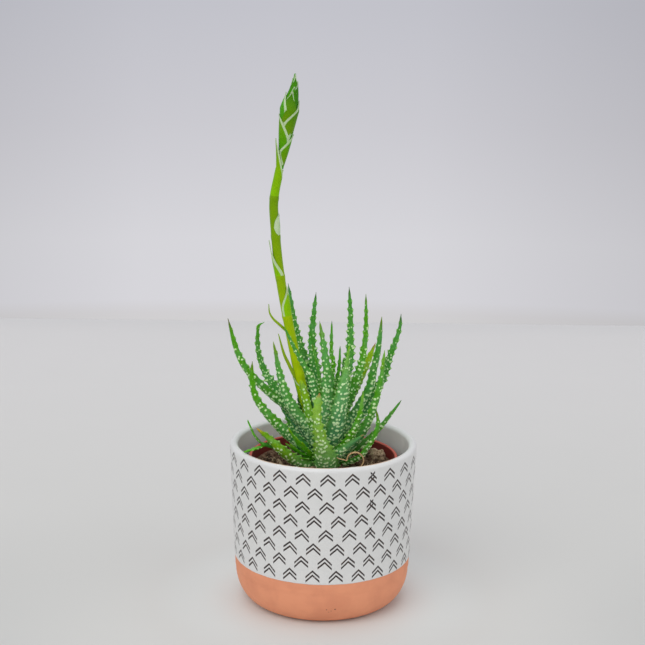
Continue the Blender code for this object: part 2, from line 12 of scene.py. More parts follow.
import bmesh
import bpy
import numpy as np
from mathutils import Euler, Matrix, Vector


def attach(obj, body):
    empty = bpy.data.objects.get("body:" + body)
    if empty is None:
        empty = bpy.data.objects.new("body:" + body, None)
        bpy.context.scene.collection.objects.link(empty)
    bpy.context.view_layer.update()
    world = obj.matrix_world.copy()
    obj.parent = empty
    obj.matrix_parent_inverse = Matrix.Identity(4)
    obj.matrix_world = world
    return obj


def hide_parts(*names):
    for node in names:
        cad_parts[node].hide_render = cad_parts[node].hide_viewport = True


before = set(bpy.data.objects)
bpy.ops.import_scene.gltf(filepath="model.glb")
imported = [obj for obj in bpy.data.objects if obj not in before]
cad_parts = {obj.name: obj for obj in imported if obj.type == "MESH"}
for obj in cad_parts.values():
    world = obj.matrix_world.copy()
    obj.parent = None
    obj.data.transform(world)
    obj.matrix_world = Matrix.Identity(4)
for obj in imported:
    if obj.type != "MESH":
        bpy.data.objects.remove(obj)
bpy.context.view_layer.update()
MM = 0.001

# %% [markdown]
# ## The camera and the room
# The camera looks slightly down on the plant through a long lens, turned a touch about its own
# axis. The room is a pale table and a soft wall behind it. The wall is only a colour that the
# world shows by direction, so a view from any side stays clear of it. Colours are shown plainly,
# with the Standard view, because the greens are vivid.

# %% Camera
CAMERA_AT = (-1.37, -783.73, 340.23)
CAMERA_PITCH = 12.61
CAMERA_ROLL = 0.692
CAMERA_LENS = 78.64


def aim(pitch, roll):
    """Turn for a camera that looks along +Y, pitched down, then rolled about its own axis."""
    level = Euler((math.radians(90 - pitch), 0, 0)).to_matrix()
    return (level @ Euler((0, 0, math.radians(roll))).to_matrix()).to_euler()


camera = bpy.data.objects.new("camera", bpy.data.cameras.new("camera"))
camera.data.lens = CAMERA_LENS
camera.data.sensor_width = 36
camera.data.clip_end = 20
camera.location = [v * MM for v in CAMERA_AT]
camera.rotation_euler = aim(CAMERA_PITCH, CAMERA_ROLL)
bpy.context.scene.collection.objects.link(camera)
bpy.context.scene.camera = camera
bpy.context.scene.view_settings.view_transform = "Standard"
print("camera:", round(Vector(camera.location).length, 3), "m from the pot's foot")

# %% [markdown]
# ## Shader arithmetic
# A finish is a small graph of nodes. Written node by node it is long to read, so one class wraps
# a socket and gives it the operators of Python: an expression such as 1 - mask * 0.5 then adds
# the Math nodes that it needs. Numbers on their own are worked out in Python. A second class is
# the graph itself, and one method of it adds every node, for a material and for the world.


# %% A socket that takes part in expressions
class Value:
    """A number that varies over a surface: the output socket of a node."""

    def __init__(self, graph, socket):
        self.graph = graph
        self.socket = socket

    def math(self, operation, *others):
        """One Math node that starts with this value."""
        return self.graph.node("ShaderNodeMath", {"operation": operation}, self, *others)

    def __add__(self, other):
        return self.math("ADD", other)

    def __sub__(self, other):
        return self.math("SUBTRACT", other)

    def __rsub__(self, other):
        return self.graph.node("ShaderNodeMath", {"operation": "SUBTRACT"}, other, self)

    def __mul__(self, other):
        return self.math("MULTIPLY", other)

    __radd__ = __add__
    __rmul__ = __mul__

    def __truediv__(self, other):
        return self.math("DIVIDE", other)

    def __gt__(self, other):
        return self.math("GREATER_THAN", other)

    def __lt__(self, other):
        return self.math("LESS_THAN", other)

    def step(self, low, high):
        """0 below low, 1 above high and a smooth ramp between; low may be the greater."""
        return self.graph.node(
            "ShaderNodeMapRange", {"interpolation_type": "SMOOTHSTEP"}, self, low, high, 0.0, 1.0
        )

    def ramp(self, stops):
        """A colour between those of (value, colour) stops, from the first value to the last."""
        low, high = stops[0][0], stops[-1][0]
        share = self.graph.node("ShaderNodeMapRange", {}, self, low, high)
        placed = [((at - low) / (high - low), colour) for at, colour in stops]
        return self.graph.node("ShaderNodeValToRGB", {"stops": placed}, share)


print("expressions: ready")


# %% A graph of nodes
def set_stops(colours, stops):
    """Set a colour ramp's stops. A new ramp has two of them already."""
    for index, (place, colour) in enumerate(stops):
        stop = colours.elements[index] if index < 2 else colours.elements.new(place)
        stop.position = place
        stop.color = (*colour, 1.0)


class Graph:
    """The nodes of a material or of the world, and the shader that their values feed."""

    def __init__(self, owner, shader):
        owner.use_nodes = True
        self.tree = owner.node_tree
        self.shader = self.tree.nodes[shader]

    def node(self, kind, settings, *values, output=0, **named):
        """Add a node: its settings first, then its sockets by order or by name."""
        made = self.tree.nodes.new(kind)
        for key, value in settings.items():
            if key == "stops":
                set_stops(made.color_ramp, value)
            else:
                setattr(made, key, value)
        for key, value in [*enumerate(values), *named.items()]:
            socket = made.inputs[key.replace("_", " ") if isinstance(key, str) else key]
            if isinstance(value, Value):
                self.tree.links.new(value.socket, socket)
            elif value is not None:
                socket.default_value = value
        return Value(self, made.outputs[output])

    def split(self, where):
        """The three parts of a place or a direction."""
        made = self.node("ShaderNodeSeparateXYZ", {}, where)
        return [Value(self, part) for part in made.socket.node.outputs]

    def feed(self, name, value):
        """Lead a value into one of the shader's sockets."""
        self.tree.links.new(value.socket, self.shader.inputs[name])


print("graphs: ready")


# %% A finish is one material
class Finish(Graph):
    """One material: a Principled shader, whose varying inputs are fed by expressions."""

    def __init__(self, name, roughness=0.5, **fixed):
        self.material = bpy.data.materials.new(name)
        super().__init__(self.material, "Principled BSDF")
        self.shader.inputs["Roughness"].default_value = roughness
        for key, value in fixed.items():
            self.shader.inputs[key.replace("_", " ")].default_value = value

    def place(self):
        """The three Object coordinates, in millimetres, and the place itself in metres."""
        where = self.node("ShaderNodeTexCoord", {}, output="Object")
        return [part / MM for part in self.split(where)] + [where]

    def noise(self, where, size, detail=3.0):
        """Cloudy noise with spots of about this size in millimetres."""
        return self.node("ShaderNodeTexNoise", {}, Vector=where, Scale=1 / (size * MM), Detail=detail)

    def mark(self, name, output="Fac"):
        """A value that the mesh carries at its points."""
        return self.node("ShaderNodeAttribute", {"attribute_name": name}, output=output)

    def mix(self, share, low, high):
        """A colour between two colours. A Mix node's colour sockets come after its share and the
        five sockets that it has for numbers and vectors."""
        ends = [value if isinstance(value, Value) else (*value, 1.0) for value in (low, high)]
        return self.node("ShaderNodeMix", {"data_type": "RGBA"}, share, *[None] * 5, *ends, output=2)

    def bump(self, height, depth):
        """Small relief: a height of 0 to 1 that stands this many millimetres high."""
        self.feed("Normal", self.node("ShaderNodeBump", {}, Strength=1.0, Distance=depth * MM, Height=height))


print("finishes: ready")

# %% [markdown]
# ## Surfaces as grids
# Every new piece is a grid of points: rows along it and columns round it. A shell is kept as
# plain arrays until it is whole: its points, its faces and the marks that the finish reads.
# Several shells that grow on one piece are then stacked into one mesh.


# %% Grid faces, caps and stacking
def grid_faces(rows, columns, wrap):
    """Quads between neighbouring rows and columns; wrap joins the last column to the first."""
    r, c = np.meshgrid(np.arange(rows - 1), np.arange(columns if wrap else columns - 1), indexing="ij")
    d = (c + 1) % columns
    quads = np.stack([r * columns + c, r * columns + d, (r + 1) * columns + d, (r + 1) * columns + c], -1)
    return quads.reshape(-1, 4).tolist()


def fan(first, columns, centre, flip):
    """Triangles from a ring of points to one point at its centre."""
    ring = [(first + c, first + (c + 1) % columns) for c in range(columns)]
    return [(b, a, centre) if flip else (a, b, centre) for a, b in ring]


def closed(points, root, tip, marks):
    """A shell from rings of points, shape (rows, columns, 3), closed at both ends by a point."""
    rows, columns = points.shape[:2]
    faces = grid_faces(rows, columns, True)
    faces += fan(0, columns, rows * columns, True)
    faces += fan((rows - 1) * columns, columns, rows * columns + 1, False)
    flat = np.vstack([points.reshape(-1, 3), root, tip])
    kept = {}
    for key, value in marks.items():
        wide = value.reshape(rows * columns, -1)
        kept[key] = np.vstack([wide, wide[0], wide[-1]])
    return flat, faces, kept


def stack(shells):
    """Several shells as one: their points, their faces moved up, and their marks."""
    faces = []
    first = 0
    for points, own, _ in shells:
        faces += [tuple(index + first for index in face) for face in own]
        first += len(points)
    points = np.vstack([shell[0] for shell in shells])
    marks = {key: np.vstack([shell[2][key] for shell in shells]) for key in shells[0][2]}
    return points, faces, marks


def blend(low, high, share):
    """Colours between two colours: the first, plus a share of the way to the second."""
    return np.array(low) + (np.array(high) - np.array(low)) * share[..., None]


def build(name, shell, finish, nodes):
    """A mesh object from a shell in millimetres, which rides on the plant and stands for its solids."""
    points, faces, marks = shell
    mesh = bpy.data.meshes.new(name)
    mesh.from_pydata((points * MM).tolist(), [], faces)
    for key, value in marks.items():
        if value.shape[1] == 1:
            mesh.attributes.new(key, "FLOAT", "POINT").data.foreach_set("value", value.ravel())
        else:
            full = np.hstack([value, np.ones((len(value), 1))])
            mesh.attributes.new(key, "FLOAT_COLOR", "POINT").data.foreach_set("color", full.ravel())
    mesh.shade_smooth()
    mesh.materials.append(finish.material)
    item = bpy.data.objects.new(name, mesh)
    bpy.context.scene.collection.objects.link(item)
    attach(item, "root")
    if nodes:
        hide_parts(*nodes)
    return item


print("grids: ready")

# %% [markdown]
# ## The cover pot
# The pot was turned on a wheel or pressed in a mould, so it is a profile turned about its axis:
# an inner wall, a rounded lip, a wall that narrows a little downwards, and a rounded foot. The
# glaze stops above the foot, where its thickness shows as a small step. The bottom is slightly
# hollow inside its foot ring.

# %% Profiles for turned pieces
TURN_STEPS = 224


def arc(centre, radii, start, end, count):
    """Points of an ellipse's arc from one angle to another, in degrees."""
    a = np.radians(np.linspace(start, end, count))
    return np.stack([centre[0] + radii[0] * np.cos(a), centre[1] + radii[1] * np.sin(a)], -1)


def run(*corners, spacing=1.2):
    """Straight runs between corners, with a point about every spacing."""
    points = []
    for (r0, z0), (r1, z1) in zip(corners[:-1], corners[1:]):
        count = max(2, round(math.hypot(r1 - r0, z1 - z0) / spacing) + 1)
        points.append(np.linspace((r0, z0), (r1, z1), count)[:-1])
    return np.vstack(points + [np.array(corners[-1:], float)])


def turned(profile, steps=TURN_STEPS):
    """Turn a profile of (radius, height) that starts on the axis, runs up the inside, over the
    lip and down the outer side, and ends on the axis. The mark outer is 1 past the lip's top."""
    between = profile[1:-1]
    a = np.linspace(0, 2 * np.pi, steps, endpoint=False)
    r, z = between[:, :1], between[:, 1:]
    points = np.stack([r * np.cos(a), r * np.sin(a), np.broadcast_to(z, (len(r), steps))], -1)[:, ::-1]
    outer = np.repeat(np.arange(len(r)) > np.argmax(z), steps).astype(float)
    return closed(points, (0.0, 0.0, profile[0, 1]), (0.0, 0.0, profile[-1, 1]), {"outer": outer})


print("turned pieces:", TURN_STEPS, "steps round")

# %% Cover pot shape
POT_HEIGHT = 95.0
POT_RIM_RADIUS = 54.1
POT_BAND_RADIUS = 51.5
POT_BAND_HEIGHT = 27.0
POT_FOOT_RADIUS = 37.0
POT_CORNER_HEIGHT = 20.0
POT_WALL = 4.6
POT_FLOOR = 5.0
POT_FLOOR_RADIUS = 41.0
POT_INNER_CORNER = 16.0
GLAZE_STEP = 0.22
FOOT_RING = (31.0, 33.0, 1.2)


def cover_profile():
    """The pot's section, from the middle of its floor up the inside and down the outside."""
    inside = POT_RIM_RADIUS - POT_WALL
    lip = POT_WALL / 2
    shoulder = POT_HEIGHT - lip
    inner = POT_BAND_RADIUS - POT_WALL
    bare = POT_BAND_RADIUS - GLAZE_STEP
    foot = POT_BAND_RADIUS - 0.5 - POT_FOOT_RADIUS - GLAZE_STEP
    bend = (inner - POT_FLOOR_RADIUS + 5, POT_INNER_CORNER - POT_FLOOR)
    hollow, ring, depth = FOOT_RING
    return np.vstack([
        run((0, POT_FLOOR), (POT_FLOOR_RADIUS - 6, POT_FLOOR), spacing=4),
        arc((POT_FLOOR_RADIUS - 5, POT_INNER_CORNER), bend, -90, 0, 12),
        run((inner, POT_INNER_CORNER + 2), (inside, shoulder - 1), spacing=2.5),
        arc((inside + lip, shoulder), (lip, lip), 180, 0, 20),
        run((POT_RIM_RADIUS - 0.02, shoulder - 1), (POT_BAND_RADIUS, POT_BAND_HEIGHT + 0.5), spacing=2.5),
        arc((bare, POT_BAND_HEIGHT + 0.3), (GLAZE_STEP, 0.3), 0, -90, 5),
        run((bare, POT_BAND_HEIGHT - 0.3), (bare - 0.2, POT_CORNER_HEIGHT + 1)),
        arc((POT_FOOT_RADIUS, POT_CORNER_HEIGHT), (foot, POT_CORNER_HEIGHT), 0, -88, 24),
        run((POT_FOOT_RADIUS - 0.6, 0), (ring, 0)),
        run((hollow, depth), (0, depth), spacing=4),
    ])


cover = turned(cover_profile())
print("cover pot:", len(cover[1]), "faces")

# %% [markdown]
# ## The glaze, its print and the bare foot
# The pattern is a common one: staggered rows of double chevrons, printed as one sheet that is
# wrapped round the pot. The print is drawn in the pot's own angle and height. In each cell of
# the pattern the distance to a pair of bent strokes decides between ink and glaze. Where the
# sheet's two ends meet, it laps by a few degrees: half a motif from one end crosses half a
# motif from the other, so the seam is drawn from both ends and the darker one wins. The right
# end spreads a little: each further row of it starts a fraction of a degree more to the right.

# %% Chevron print
PRINT_COLUMNS = 25
PRINT_ROWS = 8
PRINT_TOP = 88.7
PRINT_PITCH = 8.14
PRINT_RADIUS = 53.0
PRINT_SEAM = 31.85
PRINT_LAP = 3.0
PRINT_TWIST = -0.2
PRINT_SPREAD = 0.38
PRINT_LEAN = -0.9
STROKE_REACH = 4.05
STROKE_SLOPE = 0.93
STROKE_HALF = 0.48
STROKE_SOFT = (0.10, 0.12)
STROKE_END = 0.12
STROKE_APEX = (3.1, 0.6)
# How unevenly the print lies: its waves upwards and sideways, and each motif's tilt and shift
WAVE_UP = 0.25
WAVE_SIDE = 0.2
MOTIF_TILT = 0.24
MOTIF_SHIFT = 0.35
INK_DARK = (0.024, 0.017, 0.017)
INK_WORN = (0.105, 0.055, 0.035)


def chevrons(finish, turn, height, wobble, first, twist, side_of_seam):
    """Ink of one end of the sheet: 1 on a stroke. first is the angle of the motif at the seam in
    the top row, and twist how far each further row is moved."""
    rise = (PRINT_TOP - height + wobble * WAVE_UP) / PRINT_PITCH
    row = rise.math("ROUND")
    odd = row.math("FLOORED_MODULO", 2.0)
    pitch = (360 + PRINT_LAP) / PRINT_COLUMNS
    along = (turn - first - row * twist) / pitch
    column = along + odd * 0.5
    motif = column.math("ROUND")
    key = finish.node("ShaderNodeCombineXYZ", {}, motif, row, 0.0)
    chance = finish.node("ShaderNodeTexWhiteNoise", {"noise_dimensions": "3D"}, Vector=key, output="Value")
    across = (column - motif) * math.radians(pitch) * PRINT_RADIUS + wobble * WAVE_SIDE
    up = (row - rise) * PRINT_PITCH + across * (chance - 0.5) * MOTIF_TILT + (chance - 0.5) * MOTIF_SHIFT
    side = across.math("ABSOLUTE")
    ink = None
    for apex in STROKE_APEX:
        off = (up - (apex - side * STROKE_SLOPE)).math("ABSOLUTE") * math.cos(math.atan(STROKE_SLOPE))
        stroke = off.step(STROKE_HALF + STROKE_SOFT[0], STROKE_HALF - STROKE_SOFT[1])
        ink = stroke if ink is None else ink.math("MAXIMUM", stroke)
    ink = ink * side.step(STROKE_REACH + STROKE_END, STROKE_REACH - STROKE_END)
    ink = ink * (row > -0.5) * (row < PRINT_ROWS - 0.5)
    return ink * side_of_seam(along)


def chevron_sheet(finish, x, y, height, where):
    """The whole print. A turn of 0 faces the front, and the sheet's ends meet at the seam. The
    sheet lies a little askew, which lowers its rows towards the right by the sine of the turn."""
    turn = x.math("ARCTAN2", y * -1.0) * math.degrees(1)
    wobble = finish.noise(where, 3.0, 2.0) - 0.5
    level = height - x * (PRINT_LEAN / PRINT_RADIUS)
    left = chevrons(finish, turn, level, wobble, PRINT_SEAM, PRINT_TWIST, lambda along: along < 0.001)
    right = chevrons(
        finish, turn, level, wobble, PRINT_SEAM - PRINT_LAP, PRINT_TWIST + PRINT_SPREAD,
        lambda along: along > -0.001,
    )
    return left.math("MAXIMUM", right)


print("print:", PRINT_COLUMNS * PRINT_ROWS, "double chevrons")

# %% Glazed and bare clay
GLAZE = (0.770, 0.770, 0.742)
GLAZE_SHADE = (0.60, 0.60, 0.57)
# A lighter copy of the glaze for the pot's inside: painted light
GLAZE_INSIDE_LIT = (0.870, 0.875, 0.840)
INSIDE_FADE = 2.0
# Clay shows through the thin glaze on the lip's front: its tint, radius, heights and depths
LIP_TINT = (0.62, 0.33, 0.17)
LIP_EDGE = 51.4
LIP_HEIGHTS = (92.0, 93.5)
LIP_FRONT = (-22.0, -46.0)
CLAY = (0.86, 0.345, 0.185)
CLAY_DEEP = (0.68, 0.25, 0.135)
CLAY_PIT = (0.12, 0.035, 0.02)
# Small dark pits in the clay: distance to the right of the middle, height and size
PITS = ((2.8, 11.2, 0.4), (7.6, 11.3, 0.55), (5.4, 10.2, 0.3), (4.1, 9.4, 0.25))


def pot_finish():
    """White satin glaze with dark print above and painted light inside, bare terracotta below the glaze line.
    """
    f = Finish("glazed_clay", Specular_IOR_Level=0.45)
    x, y, z, where = f.place()
    cloud = f.noise(where, 9.0)
    stipple = f.noise(where, 0.55, 2.0)
    glaze = f.mix(stipple.step(0.42, 0.30) * 0.30 + cloud.step(0.60, 0.35) * 0.10, GLAZE, GLAZE_SHADE)
    radius = (x * x + y * y).math("SQRT")
    outer = f.mark("outer")
    # Painted light: the inside wall takes the lighter copy of the glaze
    inside = radius.step(POT_BAND_RADIUS, POT_BAND_RADIUS - INSIDE_FADE) * (z > POT_BAND_HEIGHT)
    glaze = f.mix(inside, glaze, GLAZE_INSIDE_LIT)
    fleck = f.noise(where, 0.8, 3.0)
    ink = chevron_sheet(f, x, y, z, where) * (outer > 0.5) * (z > POT_BAND_HEIGHT) * fleck.step(0.22, 0.36)
    glaze = f.mix(ink, glaze, f.mix(fleck.step(0.5, 0.7), INK_DARK, INK_WORN))
    thin = (radius - LIP_EDGE).math("ABSOLUTE").step(1.0, 0.6) * z.step(*LIP_HEIGHTS) * y.step(*LIP_FRONT)
    glaze = f.mix(thin * f.noise(where, 4.0).step(0.30, 0.50) * 0.8, glaze, LIP_TINT)
    clay = f.mix(f.noise(where, 14.0).step(0.35, 0.7) * 0.5, CLAY, CLAY_DEEP)
    for right, height, size in PITS:
        far = ((x - right) * (x - right) + (z - height) * (z - height)).math("SQRT")
        clay = f.mix(far.step(size, size * 0.5) * (y < 0.0) * 0.9, clay, CLAY_PIT)
    edge = f.noise(where, 5.0) * 0.5 + POT_BAND_HEIGHT - 0.4
    bare = (z < edge) * (outer > 0.5)
    f.feed("Base Color", f.mix(bare, glaze, clay))
    f.feed("Roughness", bare * 0.42 + cloud * 0.12 + 0.30 - ink * (1 - bare) * 0.04)
    grain = f.noise(where, 0.5, 4.0) * (bare * 0.8 + 0.2) + cloud * 0.3
    f.bump(grain, 0.12)
    return f


pot = build("pot_glazed", cover, pot_finish(), ["cover_pot"])
print("glaze:", len(pot.data.materials[0].node_tree.nodes), "nodes")

# %% [markdown]
# ## The nursery pot and the soil
# Inside stands the thin moulded pot that the plant was sold in. Only its rim and a little of
# its wall show. The soil is a disc whose top is a sum of noise-like waves, with crumbs of bark,
# pumice and fibre strewn over it: one small ball of faces for all, squashed, turned and dented
# by seeded draws.

# %% Nursery pot
CUP_HEIGHT = 81.0
CUP_RIM_RADIUS = 43.2
CUP_FOOT_RADIUS = 30.0
CUP_WALL = 1.2
CUP_LIP = 1.8
CUP_LIP_HEIGHT = 6.0
CUP_BOTTOM = POT_FLOOR + 0.3
DRAIN_HOLES = 5
DRAIN_RADIUS = 4.0
DRAIN_CIRCLE = 17.0
DRILL_DEPTH = 4.0
PLASTIC = (0.18, 0.015, 0.009)
# The paler colour of the lip's top is a painted highlight
PLASTIC_LIT_EDGE = (0.60, 0.105, 0.060)
PLASTIC_DUST = (0.10, 0.05, 0.03)
# Heights between which the painted highlight on the lip's top begins, and the dust lower down
LIT_EDGE_HEIGHTS = (85.2, 86.2)
DUST_HEIGHTS = (84.0, 79.0)


def cup_radius(height):
    """Outer radius of the tapered wall at a height above the cup's floor."""
    return CUP_FOOT_RADIUS + (CUP_RIM_RADIUS - CUP_LIP + CUP_WALL - CUP_FOOT_RADIUS) * height / CUP_HEIGHT


def cup_profile():
    """The cup's section, with a rounded lip that stands out over the wall."""
    top = CUP_BOTTOM + CUP_HEIGHT
    band = top - CUP_LIP_HEIGHT
    wall = cup_radius(CUP_HEIGHT - CUP_LIP_HEIGHT)
    floor = CUP_BOTTOM + CUP_WALL
    foot = CUP_FOOT_RADIUS - CUP_WALL
    half = CUP_LIP / 2
    return np.vstack([
        run((0, floor), (foot, floor), spacing=6),
        run((foot + 0.3, floor + 0.5), (wall - CUP_WALL, band), spacing=6),
        arc((CUP_RIM_RADIUS - half, top - half), (half, half), 180, 0, 12),
        run((CUP_RIM_RADIUS, top - half - 0.3), (CUP_RIM_RADIUS - 0.3, band + 0.3)),
        run((CUP_RIM_RADIUS - 0.6, band), (wall, band - 0.4)),
        run((wall, band - 0.8), (CUP_FOOT_RADIUS, CUP_BOTTOM + 0.3), spacing=6),
        run((CUP_FOOT_RADIUS - 0.3, CUP_BOTTOM), (0, CUP_BOTTOM), spacing=6),
    ])


def drill_holes(item):
    """Cut the drain holes through the cup's floor with round cutters, then drop the cutters."""
    work = bmesh.new()
    for i in range(DRAIN_HOLES):
        angle = math.tau * (i + 0.25) / DRAIN_HOLES
        made = bmesh.ops.create_cone(work, cap_ends=True, segments=24, radius1=DRAIN_RADIUS * MM,
                                     radius2=DRAIN_RADIUS * MM, depth=DRILL_DEPTH * MM)
        at = Vector((DRAIN_CIRCLE * math.cos(angle), DRAIN_CIRCLE * math.sin(angle), CUP_BOTTOM + 0.6)) * MM
        bmesh.ops.translate(work, verts=made["verts"], vec=at)
    mesh = bpy.data.meshes.new("drills")
    work.to_mesh(mesh)
    work.free()
    drills = bpy.data.objects.new("drills", mesh)
    bpy.context.scene.collection.objects.link(drills)
    cut = item.modifiers.new("holes", "BOOLEAN")
    cut.operation = "DIFFERENCE"
    cut.object = drills
    graph = bpy.context.evaluated_depsgraph_get()
    whole = bpy.data.meshes.new_from_object(item.evaluated_get(graph))
    item.modifiers.clear()
    item.data = whole
    bpy.data.objects.remove(drills)


def cup_finish():
    """Red-brown plastic, paler on its lip's top as a painted highlight, dusty lower down inside."""
    f = Finish("cup_plastic", 0.45)
    _, _, z, where = f.place()
    dust = f.noise(where, 2.5) * z.step(*DUST_HEIGHTS)
    # Painted highlight: the lip's top is paler
    colour = f.mix(z.step(*LIT_EDGE_HEIGHTS), PLASTIC, PLASTIC_LIT_EDGE)
    f.feed("Base Color", f.mix(dust.step(0.4, 0.7) * 0.6, colour, PLASTIC_DUST))
    f.feed("Roughness", 0.42 + f.noise(where, 0.8) * 0.2)
    return f


cup = build("nursery_cup", turned(cup_profile(), 144), cup_finish(), ["nursery_pot"])
drill_holes(cup)
print("nursery pot:", len(cup.data.polygons), "faces after drilling")

# %% Soil surface
SOIL_TOP = 80.5
SOIL_RELIEF = 1.4
SOIL_RINGS = 90
SOIL_STEPS = 240
SOIL_DARK = (0.050, 0.028, 0.018)
SOIL_BROWN = (0.165, 0.095, 0.055)
SOIL_TAN = (0.56, 0.43, 0.27)


def relief(x, y):
    """Crossing waves, long ones first, as the solid has them, and finer ones on top."""
    coarse = np.sin(0.37 * x + 1.1) * np.cos(0.33 * y - 0.4)
    middle = np.sin(0.9 * x - 0.5 * y) * np.cos(0.7 * y + 0.6 * x + 2.0)
    fine = np.sin(2.3 * x + 1.7 * y) * np.cos(2.9 * y - 1.3 * x) + np.sin(4.1 * x) * np.cos(3.7 * y + x)
    return SOIL_RELIEF * (0.6 * coarse + 0.5 * middle + 0.22 * fine)


def soil_disc():
    """A disc with the relief on top, which goes down inside the cup to its floor."""
    floor = CUP_BOTTOM + CUP_WALL + 0.3
    edge = cup_radius(SOIL_TOP - CUP_BOTTOM) - CUP_WALL - 0.3
    foot = cup_radius(CUP_WALL) - CUP_WALL - 0.6
    a = np.linspace(0, 2 * np.pi, SOIL_STEPS, endpoint=False)[::-1]
    r = np.concatenate([np.linspace(0.4, edge, SOIL_RINGS), [edge - 0.1, foot]])[:, None]
    x, y = r * np.cos(a), r * np.sin(a)
    fade = np.clip((edge - r) / 3, 0.15, 1)
    z = SOIL_TOP + relief(x, y) * fade
    z[-2] = SOIL_TOP - 2
    z[-1] = floor
    points = np.stack([x, y, z], -1)
    tint = 0.5 + 0.3 * np.sin(1.9 * x) * np.cos(2.3 * y) + 0.0 * z
    return closed(points, (0, 0, z[0].mean()), (0, 0, floor), {"tint": tint})


def ball(divisions):
    """A unit ball of triangles: its points and its faces."""
    work = bmesh.new()
    bmesh.ops.create_icosphere(work, subdivisions=divisions, radius=1.0)
    points = np.array([v.co for v in work.verts])
    faces = [tuple(v.index for v in face.verts) for face in work.faces]
    work.free()
    return points, faces


def turn_matrix(draw):
    """A random turn: the orthogonal part of a random matrix, made right-handed."""
    q, _ = np.linalg.qr(draw.normal(size=(3, 3)))
    return q * np.sign(np.linalg.det(q))


def crumb(at, size, squash, tint, base, draw):
    """A ball squashed three ways, dented by two waves, turned, and set on the soil."""
    points, faces = base
    wave = np.sin(points @ draw.normal(size=3) * 3.1 + draw.uniform(0, 6))
    wave += np.sin(points @ draw.normal(size=3) * 5.7 + draw.uniform(0, 6)) * 0.6
    body = points * (1 + 0.16 * wave)[:, None] * np.array(squash) * size
    body = body @ turn_matrix(draw).T + np.array(at)
    return body, faces, {"tint": np.full((len(body), 1), tint)}


print("soil: ground ready")

# %% Crumbs, bark and fibres
SOIL_SEED = 11
SOIL_REACH = 37.0
CRUMBS = 620
BARK = 70
FIBRES = 46
FIBRE_REACH = 34
# The large lump at the right: its place and size, and the small lumps that lie against it
BIG_LUMP = (32.0, 12.0, 4.8)
SMALL_LUMPS = 7
SMALL_LUMP = 1.9
SMALL_LUMP_REACH = 3.2


def ground(x, y):
    """Height of the soil under a place."""
    return SOIL_TOP + relief(np.array(x), np.array(y))


def strewn(count, low, high, squash, tints, base, draw):
    """Crumbs over the disc: even in area, small ones more often than large ones."""
    made = []
    for _ in range(count):
        angle, reach = draw.uniform(0, 2 * np.pi), SOIL_REACH * math.sqrt(draw.uniform(0.03, 1))
        x, y = reach * math.cos(angle), reach * math.sin(angle)
        size = low + (high - low) * draw.uniform() ** 2.5
        lift = ground(x, y) + size * 0.2
        made.append(crumb((x, y, lift), size, squash, draw.choice(tints) + draw.normal() * 0.05, base, draw))
    return made


def fibre(draw):
    """A thin root or coir strand that lies on the soil in a loose bend."""
    angle = draw.uniform(0, 6.28)
    reach = FIBRE_REACH * math.sqrt(draw.uniform(0.05, 1))
    turn = draw.uniform(0, 6.28)
    t = np.linspace(-1, 1, 12)
    length, bend = draw.uniform(3, 8), draw.uniform(-2, 2)
    x = reach * math.cos(angle) + t * length * math.cos(turn) - bend * t * t * math.sin(turn)
    y = reach * math.sin(angle) + t * length * math.sin(turn) + bend * t * t * math.cos(turn)
    keep = SOIL_REACH / np.maximum(SOIL_REACH, np.hypot(x, y))
    x, y = x * keep, y * keep
    line = np.stack([x, y, ground(x, y) + 0.5 + 0.6 * np.cos(t * 1.5)], -1)
    a = np.linspace(0, 2 * np.pi, 5, endpoint=False)
    radius = draw.uniform(0.12, 0.28)
    ring = np.stack([-np.cos(a) * math.sin(turn), np.cos(a) * math.cos(turn), np.sin(a)], -1) * radius
    points = line[:, None, :] + ring[None]
    return closed(points, line[0], line[-1], {"tint": np.full(points.shape[:2], draw.uniform(0.6, 0.95))})


def soil_finish():
    """Peat, bark and pumice: the mesh carries a tint from dark peat through brown to tan."""
    f = Finish("potting_soil", 0.9, Specular_IOR_Level=0.2)
    where = f.place()[3]
    tint = f.mark("tint") + (f.noise(where, 0.9, 5.0) - 0.5) * 1.1
    colour = f.mix(tint.step(0.1, 0.55), SOIL_DARK, SOIL_BROWN)
    colour = f.mix(tint.step(0.60, 1.0), colour, SOIL_TAN)
    f.feed("Base Color", colour)
    f.bump(f.noise(where, 0.35, 5.0), 0.5)
    return f


def soil_pieces():
    """The bed and all that lies on it, as one shell."""
    draw = np.random.default_rng(SOIL_SEED)
    base = ball(2)
    made = [soil_disc()]
    made += strewn(CRUMBS, 0.35, 1.7, (1.1, 0.9, 0.8), (0.1, 0.25, 0.45, 0.6), base, draw)
    made += strewn(BARK, 1.2, 3.0, (1.3, 0.8, 0.35), (0.35, 0.5, 0.75), base, draw)
    made += [fibre(draw) for _ in range(FIBRES)]
    x, y, size = BIG_LUMP
    level = ground(x, y)
    made.append(crumb((x, y, level + 1.5), size, (1.1, 0.9, 0.85), 0.9, ball(4), draw))
    for turn in range(SMALL_LUMPS):
        right, back = SMALL_LUMP_REACH * math.cos(turn), SMALL_LUMP_REACH * math.sin(turn)
        near = (x + right, y + back, level + 2.2 + math.sin(3.0 * turn))
        made.append(crumb(near, SMALL_LUMP, (1.2, 0.8, 0.7), 0.85, base, draw))
    return stack(made)


soil = build("soil_crumbs", soil_pieces(), soil_finish(), ["soil"])
print("soil:", len(soil.data.polygons), "faces")

# %% [markdown]
# ## How a leaf is shaped
# A leaf of this aloe is flat to slightly hollow above and round below, with soft white teeth on
# its margins and pale round warts in rows across both faces. It is a section carried along a
# middle line. The middle line is a smooth curve through a few given points, and the
# section's width follows one taper. Teeth and warts are moves of the same grid, so that each
# leaf stays one closed skin, and the grid also carries a mark where they are for the finish.

# %% Middle lines
STEM_RADIUS = 7.2
STEM_NECK = 3.6
STEM_SHOULDER = 88.0
STEM_TOP = 104.0
ROOT_SHARE = 0.65


